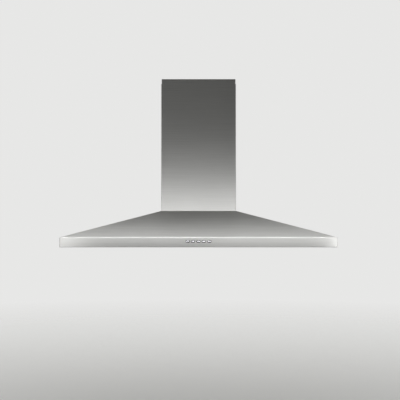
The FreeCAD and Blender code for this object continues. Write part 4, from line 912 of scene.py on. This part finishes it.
def makeCapacitor(c):
    r, low, rim, well = c["radius"], c["foot"], c["rim"], c["well"]
    x, y = c["middle"]
    profile = [
        (0, low), (r - 1.6, low), (r - 0.5, low + 0.5), (r, low + 1.6), (r, low + 6), (r - 0.7, low + 7),
        (r - 0.7, low + 8.4), (r, low + 9.4), (r, rim - 1.4), (r - 0.4, rim - 0.4), (r - 1.3, rim),
        (r - 2.2, rim - 0.4), (r - 2.6, well + 0.8), (r - 3.2, well), (0, well),
    ]
    bm = bmesh.new()
    lathe(bm, profile, (x, y, 0), steps=56)
    body = len(bm.faces)
    half, tip, cut = c["tabHalf"], c["tabTop"], c["tabCut"]
    right = [(half, well - 1), (half, tip - cut), (half - cut, tip)]
    outline = right + [(-u, z) for u, z in reversed(right)]
    for middle in (x - c["tabGap"], x + c["tabGap"]):
        sides = (middle - c["tabGauge"] / 2, middle + c["tabGauge"] / 2)
        capped(bm, [[Vector((side, y + u, z)) for u, z in outline] for side in sides])
    bm.faces.ensure_lookup_table()
    for tab in bm.faces[body:]:
        tab.material_index = 1
    can = newObject("motorCapacitor", bm, whitePlastic, 35)
    can.data.materials.append(tinnedBrass)
    return can


stands(makeCapacitor(capacitorCan), "hood", "white_plastic", "run_capacitor")


# moulded cases for the terminals and the lamp driver, and the gland that takes the supply lead

def caseSizes(node, extras):
    low, high = span(node)
    half = [(b - a) / 2 for a, b in zip(low[:2], high)]
    return extras | {"middle": halfway(node)[:2], "half": half, "foot": low[2], "top": high[2]}


terminalCase = caseSizes("terminal_box", {"corner": 5, "draft": 0.4, "groove": 0.5})
terminalCover = caseSizes("terminal_lid", {"corner": 5, "groove": 0.5})
driverCase = caseSizes("lamp_driver", {"corner": 3, "groove": 0.4, "seam": 15})
low, high = span("cable_gland")
gland = {
    "at": (terminalCase["middle"][0], low[1], (low[2] + high[2]) / 2), "length": high[1] - low[1],
    "hex": 8.0, "hexLength": 5, "neck": 6.2, "neckEnd": 6.6, "nut": 7.4, "nutEnd": 14, "mouth": 5.4,
    "bore": 4, "grips": 24,
    "rib": ((-0.3, -0.45), (0.35, -0.2), (0.35, 0.2), (-0.3, 0.45)),  # rise and width of a grip
}


def makeCase(name, c, levels):  # levels: (inset, height) from the foot up
    rings = []
    for inset, z in levels:
        half, corner = [h - inset for h in c["half"]], max(0.8, c["corner"] - inset)
        rings.append([Vector((p.x, p.y, z)) for p in roundedRing(c["middle"], half, corner, (6, 14))])
    bm = bmesh.new()
    capped(bm, rings)
    return newObject(name, bm, greyPlastic, 30)


def makeGland(c):
    bm = bmesh.new()
    flat, long = c["hex"], c["hexLength"]
    hexagon = [(0, 0), (flat * 0.96, 0), (flat, 0.5), (flat, long - 0.6), (flat * 0.9, long), (0, long)]
    lathe(bm, hexagon, c["at"], "Y", 6)
    nut, start, end, mouth, tip = c["nut"], c["neckEnd"], c["nutEnd"], c["mouth"], c["length"]
    profile = [
        (c["bore"], 0.4), (c["neck"], 0.4), (c["neck"], start), (nut - 0.5, start), (nut, start + 0.6),
        (nut, end - 2), (nut - 0.6, end - 0.6), (nut - 1.6, end), (mouth + 0.3, end), (mouth, end + 1),
        (mouth, tip - 0.8), (mouth - 0.6, tip), (c["bore"], tip),
    ]
    lathe(bm, profile, c["at"], "Y", 48, ring=True)
    for i in range(c["grips"]):  # grip ribs round the dome nut
        a = 2 * math.pi * i / c["grips"]
        out, side = Vector((math.cos(a), 0, math.sin(a))), Vector((-math.sin(a), 0, math.cos(a)))
        foot = [Vector(c["at"]) + out * (nut + rise) + side * width for rise, width in c["rib"]]
        capped(bm, [[p + Vector((0, y, 0)) for p in foot] for y in (start + 0.9, end - 2.3)])
    return newObject("cableGland", bm, blackPlastic, 30)


c = terminalCase
foot, seam, draft, groove = c["foot"], c["top"], c["draft"], c["draft"] + c["groove"]
stands(makeCase("terminalCase", c, (
    (0.6, foot), (0, foot + 0.6), (0, foot + 4), (draft, seam - 1.2), (groove, seam - 0.6), (groove, seam),
)), "hood", "grey_plastic", "terminal_box")
c = terminalCover
foot, top, groove = c["foot"], c["top"], c["groove"]
stands(makeCase("terminalCover", c, (
    (groove, foot), (groove, foot + 0.3), (0, foot + 0.6), (0, top - 0.8), (0.25, top - 0.25), (0.8, top),
    (5.0, top), (5.6, top - 0.5),
)), "hood", "grey_plastic", "terminal_lid")
stands(makeGland(gland), "hood", "black_plastic", "cable_gland")
c = driverCase
foot, top, groove, seam = c["foot"], c["top"], c["groove"], c["foot"] + c["seam"]
stands(makeCase("lampDriver", c, (
    (0.6, foot), (0, foot + 0.6), (0, seam - 0.4), (groove, seam), (groove, seam + 0.6), (0, seam + 1),
    (0, top - 0.8), (0.25, top - 0.25), (0.8, top), (4.0, top), (4.5, top - 0.5),
)), "hood", "grey_plastic", "lamp_driver")
print("collar, capacitor, cases and gland moulded")


# screws: pan heads with a cross recess, turned by chance

screwHead = {
    "radius": 4.0, "height": 2.0, "shank": 2.0, "reach": 6.0, "turn": 3.14,  # largest turn, in radians
    "slotWidth": 0.95, "slotReach": 2.2, "slotDepth": 1.1, "slotTaper": 0.8,
}
up, down, back = (0, 0, 1), (0, 0, -1), (0, 1, 0)
panLevel = span("underpan")[0][2]
casingTop, collarTop = casing["low"] + casing["gauge"], collar["foot"] + collar["flangeGauge"]
boltReach = 58.3275  # collar screws, left to right and front to back of the duct's axis
screwSets = {  # places: where each head sits, and the way it faces
    "panScrews": {
        "cadNodes": ["underpan_screws"], "body": "hood", "shank": True,
        "places": [
            *[((x, -479, panLevel), down) for x in (-480, -180, 180, 480)],
            *[((x, -11, panLevel), down) for x in (-480, 0, 480)],
            *[((x, y, panLevel), down) for x in (-579, 579) for y in (-125, -300)],
        ],
    },
    "lowerChimneyScrews": {
        "cadNodes": ["lower_chimney_screws"], "body": "hood", "shank": True,
        "places": [((lowerCover["half"] * s, -45, 174.4), (s, 0, 0)) for s in (-1, 1)],
    },
    "upperChimneyScrews": {
        "cadNodes": ["upper_bracket_screws"], "body": "upper_section", "shank": True,
        "places": [((upperCover["half"] * s, -24, 744.2), (s, 0, 0)) for s in (-1, 1)],
    },
    "casingScrews": {
        "cadNodes": [], "body": "hood", "shank": False,
        "places": [
            *[((155 * s, y, casingTop), up) for s in (-1, 1) for y in (-30, -135, -240)],
            *[((x, y, casingTop), up) for x in (-110, 0, 110) for y in (-10, -260)],
        ],
    },
    "collarScrews": {
        "cadNodes": [], "body": "hood", "shank": False,
        "places": [
            ((ductAxis[0] + boltReach * u, ductAxis[1] + boltReach * v, collarTop), up)
            for u, v in ((1, 1), (-1, 1), (-1, -1), (1, -1))
        ],
    },
    "coverScrews": {
        "cadNodes": [], "body": "hood", "shank": False,
        "places": [((terminalCover["middle"][0], y, terminalCover["top"] - 0.5), up) for y in (-188, -82)],
    },
    "boardScrews": {
        "cadNodes": ["key_board_screws"], "body": "hood", "shank": False,
        "places": [((64.8 * s, -478.9, keyPlaces[0][2]), back) for s in (-1, 1)],
    },
}


def screwTree():
    tree, have = newTree("screwSet", {"Blank": "Object", "Turn": "Float", "Seed": "Int", "Steel": "Material"})
    blank = addNode(tree, "GeometryNodeObjectInfo", inputs={"Object": have["Blank"]})
    aim = addNode(tree, "GeometryNodeInputNamedAttribute", {"data_type": "FLOAT_VECTOR"}, {"Name": "aim"})
    upright = addNode(tree, "FunctionNodeAlignRotationToVector", {"axis": "Z"}, {"Vector": aim})
    chance = addNode(tree, "FunctionNodeRandomValue", {"data_type": "FLOAT"}, {
        2: 0.0, 3: have["Turn"], "Seed": have["Seed"]}).outputs[1]
    spin = addNode(tree, "FunctionNodeAxisAngleToRotation", inputs={"Axis": up, "Angle": chance})
    turned = addNode(tree, "FunctionNodeRotateRotation", {"rotation_space": "LOCAL"}, {
        "Rotation": upright, "Rotate By": spin})
    spots = addNode(tree, "GeometryNodeInstanceOnPoints", inputs={
        "Points": have["Geometry"], "Instance": blank.outputs["Geometry"], "Rotation": turned})
    return closeTree(tree, spots, have["Steel"])


def screwBlank(name, c, shank):
    r, h, stem, tip = c["radius"], c["height"], c["shank"], -c["reach"]
    profile = [(0, tip), (stem - 0.6, tip), (stem, tip + 0.8), (stem, 0)] if shank else [(0, 0)]
    profile += [(r - 0.15, 0), (r, 0.15), (r, 0.6)]
    profile += [(r * 0.95, h * 0.55), (r * 0.8, h * 0.8), (r * 0.62, h * 0.925)]
    bm = bmesh.new()
    crown = lathe(bm, profile, (0, 0, 0), steps=24)[-1]
    # cross recess: per arm two corners at its end and one in the crook
    outline = []
    for q in range(4):
        along = Vector((math.cos(q * math.pi / 2), math.sin(q * math.pi / 2), 0))
        aside = Vector((-along.y, along.x, 0))
        end, half = along * c["slotReach"], c["slotWidth"] / 2
        outline += [(end - aside * half, 0.945), (end + aside * half, 0.945), ((along + aside) * half, 1.0)]
    mouth = [bm.verts.new((p + Vector((0, 0, h * level))) * mm) for p, level in outline]
    bottom = Vector((0, 0, h - c["slotDepth"]))
    floor = [bm.verts.new((p * c["slotTaper"] + bottom) * mm) for p, level in outline]
    for n in range(12):
        k = (n + 1) % 12
        bm.faces.new((crown[2 * n - 1], crown[2 * n], mouth[n]))
        bm.faces.new((crown[2 * n], crown[2 * n + 1], mouth[k], mouth[n]))
        bm.faces.new((mouth[n], mouth[k], floor[k], floor[n]))
    for q in range(4):
        bm.faces.new((floor[3 * q], floor[3 * q + 1], floor[3 * q + 2], floor[3 * q - 1]))
    bm.faces.new(floor[2::3])
    bmesh.ops.recalc_face_normals(bm, faces=bm.faces)
    return newObject(name, bm, screwZinc)


setTree = screwTree()
for seed, (name, c) in enumerate(screwSets.items()):
    blank = screwBlank(name + "Blank", screwHead, c["shank"])
    spots = bpy.data.meshes.new(name)
    spots.from_pydata([[v * mm for v in at] for at, aim in c["places"]], [], [])
    aims = spots.attributes.new("aim", "FLOAT_VECTOR", "POINT")
    for i, (at, aim) in enumerate(c["places"]):
        aims.data[i].vector = aim
    screws = bpy.data.objects.new(name, spots)
    scene.collection.objects.link(screws)
    grow(screws, setTree, {"Blank": blank, "Turn": screwHead["turn"], "Seed": seed, "Steel": screwZinc}, 35)
    bpy.data.objects.remove(blank)
    stands(screws, c["body"], "screw_steel", *c["cadNodes"])
    print("screws", name, len(screws.data.polygons))


# CAD nodes that stay get their finish

finishes = {
    "underpan": panSteel, "wall_hooks": zincSheet, "chimney_clips": zincSheet,
    "upper_bracket": zincSheet, "filter_hooks": zincSheet, "motor_carrier": zincSheet,
    "filter_leaf_springs": springSteel, "damper_pin": groundSteel,
    "lamp_housing_left": castAluminium, "lamp_housing_right": castAluminium, "lamp_light_boards": boardWhite,
    "key_board": boardGreen, "key_housing": blackPlastic, "key_switches": blackPlastic,
    "scroll_left": blackPlastic, "scroll_right": blackPlastic, "fan_wheel": blackPlastic,
    "damper_flap_front": blackPlastic, "damper_flap_rear": blackPlastic,
    "motor_can": motorPaint, "motor_stator": laminatedIron, "motor_rotor": laminatedIron,
    "motor_shaft": groundSteel, "motor_bearings": groundSteel,
}
for name, material in finishes.items():
    obj = nodes[name]
    if not obj.material_slots:
        obj.data.materials.append(material)
    for place in obj.material_slots:
        place.material = material
print("finishes on", len(finishes), "nodes")


# floor and world

stageSet = {"level": -1.0, "fade": 1.5, "reach": 7.0, "tone": "#e3e3e1", "sky": (0.80, 0.80, 0.792, 1)}


def makeFloor(s):  # pale disc that fades out, and shows from above only
    bm = bmesh.new()
    bmesh.ops.create_circle(bm, cap_ends=True, segments=96, radius=s["reach"])
    for v in bm.verts:
        v.co.z = s["level"]
    made, tree, place = newMaterial("paleFloor")
    away = addNode(tree, "ShaderNodeVectorMath", {"operation": "LENGTH"}, {0: place}).outputs["Value"]
    fade = addNode(tree, "ShaderNodeMapRange", inputs={
        "Value": away, "From Min": s["fade"], "From Max": s["reach"]})
    under = addNode(tree, "ShaderNodeNewGeometry").outputs["Backfacing"]
    most = addNode(tree, "ShaderNodeMath", {"operation": "MAXIMUM"}, {0: fade, 1: under})
    paint = addNode(tree, "ShaderNodeBsdfDiffuse", inputs={"Color": linear(s["tone"])})
    gone = addNode(tree, "ShaderNodeBsdfTransparent")
    closeMaterial(made, "ShaderNodeMixShader", {0: most, 1: paint, 2: gone})
    return newObject("floorDisc", bm, made)


def makeWorld(s):
    world = bpy.data.worlds.new("paleStudio")
    scene.world = world
    world.use_nodes = True
    tree = world.node_tree
    tree.nodes.clear()
    sky = addNode(tree, "ShaderNodeBackground", inputs={"Color": s["sky"], "Strength": 1.0})
    addNode(tree, "ShaderNodeOutputWorld", inputs={"Surface": sky})


makeFloor(stageSet)
makeWorld(stageSet)


# grey cards that steel is photographed with: (y, z) outline, half width, tone from left to right

cards = {
    "lowCard": {"path": [(-0.85, -0.6), (-0.85, 0.018)], "half": 1.2, "tones": ("#1c1c1c", "#1c1c1c")},
    "roomCard": {"path": [(-2.6, -0.35), (-2.6, 1.6)], "half": 1.9, "tones": ("#8e8e8e", "#1a1a1a")},
    "ceilingCard": {
        "path": [(-2.6, 1.6), (-1.6, 2.4), (1.0, 2.4), (1.7, 2.0), (2.2, 1.5)], "half": 1.9,
        "tones": ("#a6a6a6", "#a6a6a6"),
    },
}


def makeCard(name, c):
    bm = bmesh.new()
    rows = [[bm.verts.new((x, y, z)) for x in (-c["half"], c["half"])] for y, z in c["path"]]
    for low, high in zip(rows, rows[1:]):
        bm.faces.new((low[0], low[1], high[1], high[0]))
    made, tree, place = newMaterial(name + "Paper")
    across = addNode(tree, "ShaderNodeSeparateXYZ", inputs={0: place}).outputs["X"]
    share = addNode(tree, "ShaderNodeMapRange", inputs={
        "Value": across, "From Min": -c["half"], "From Max": c["half"]})
    tone = addNode(tree, "ShaderNodeValToRGB", inputs={"Fac": share})
    setTones(tone.color_ramp, *c["tones"], margin=0.32)
    closeMaterial(made, "ShaderNodeBsdfDiffuse", {"Color": tone})
    obj = newObject(name, bm, made)
    obj.visible_camera = False
    return obj


for name, card in cards.items():
    makeCard(name, card)


# soft lights, in watts and degrees, and the camera at the photograph's angle

lamps = {  # place, aim, size, power, spread
    "frontBox": ((0.12, -1.2, 0.055), (0.12, 0, 0.055), (2.2, 0.2), 1.42, 84),
    "topStrip": ((0, -0.40, 0.62), (0, -0.50, 0), (1.5, 0.08), 0.32, 55),
    "foldStrip": ((0, -0.75, 0.70), (0, -0.51, 0.04), (1.5, 0.08), 0.36, 40),
    "bandFill": ((0.34, -0.72, 0.04), (0.34, -0.5, 0.03), (0.5, 0.06), 0.03, 120),
    "leftStrip": ((-0.61, -0.80, -0.02), (-0.62, -0.5, 0.04), (0.05, 0.1), 0.034, 90),
    "rightStrip": ((0.66, -0.68, -0.02), (0.62, -0.5, 0.04), (0.04, 0.1), 0.035, 90),
}
for name, (place, aim, size, power, spread) in lamps.items():
    light = bpy.data.lights.new(name, "AREA")
    light.shape = "RECTANGLE"
    light.size, light.size_y = size
    light.energy = power
    light.spread = math.radians(spread)
    obj = bpy.data.objects.new(name, light)
    scene.collection.objects.link(obj)
    obj.location = place
    obj.rotation_euler = (Vector(aim) - obj.location).to_track_quat("-Z", "Y").to_euler()
    obj.visible_camera = False

photoView = {"at": (0.0065, -4.6, 0.2039), "lens": 85.6, "sensor": 36}
camera = bpy.data.objects.new("photoCamera", bpy.data.cameras.new("photoCamera"))
scene.collection.objects.link(camera)
camera.data.sensor_width = photoView["sensor"]
camera.data.lens = photoView["lens"]
camera.location = photoView["at"]
camera.rotation_euler = (math.radians(90), 0, 0)
scene.camera = camera
print("stage set")
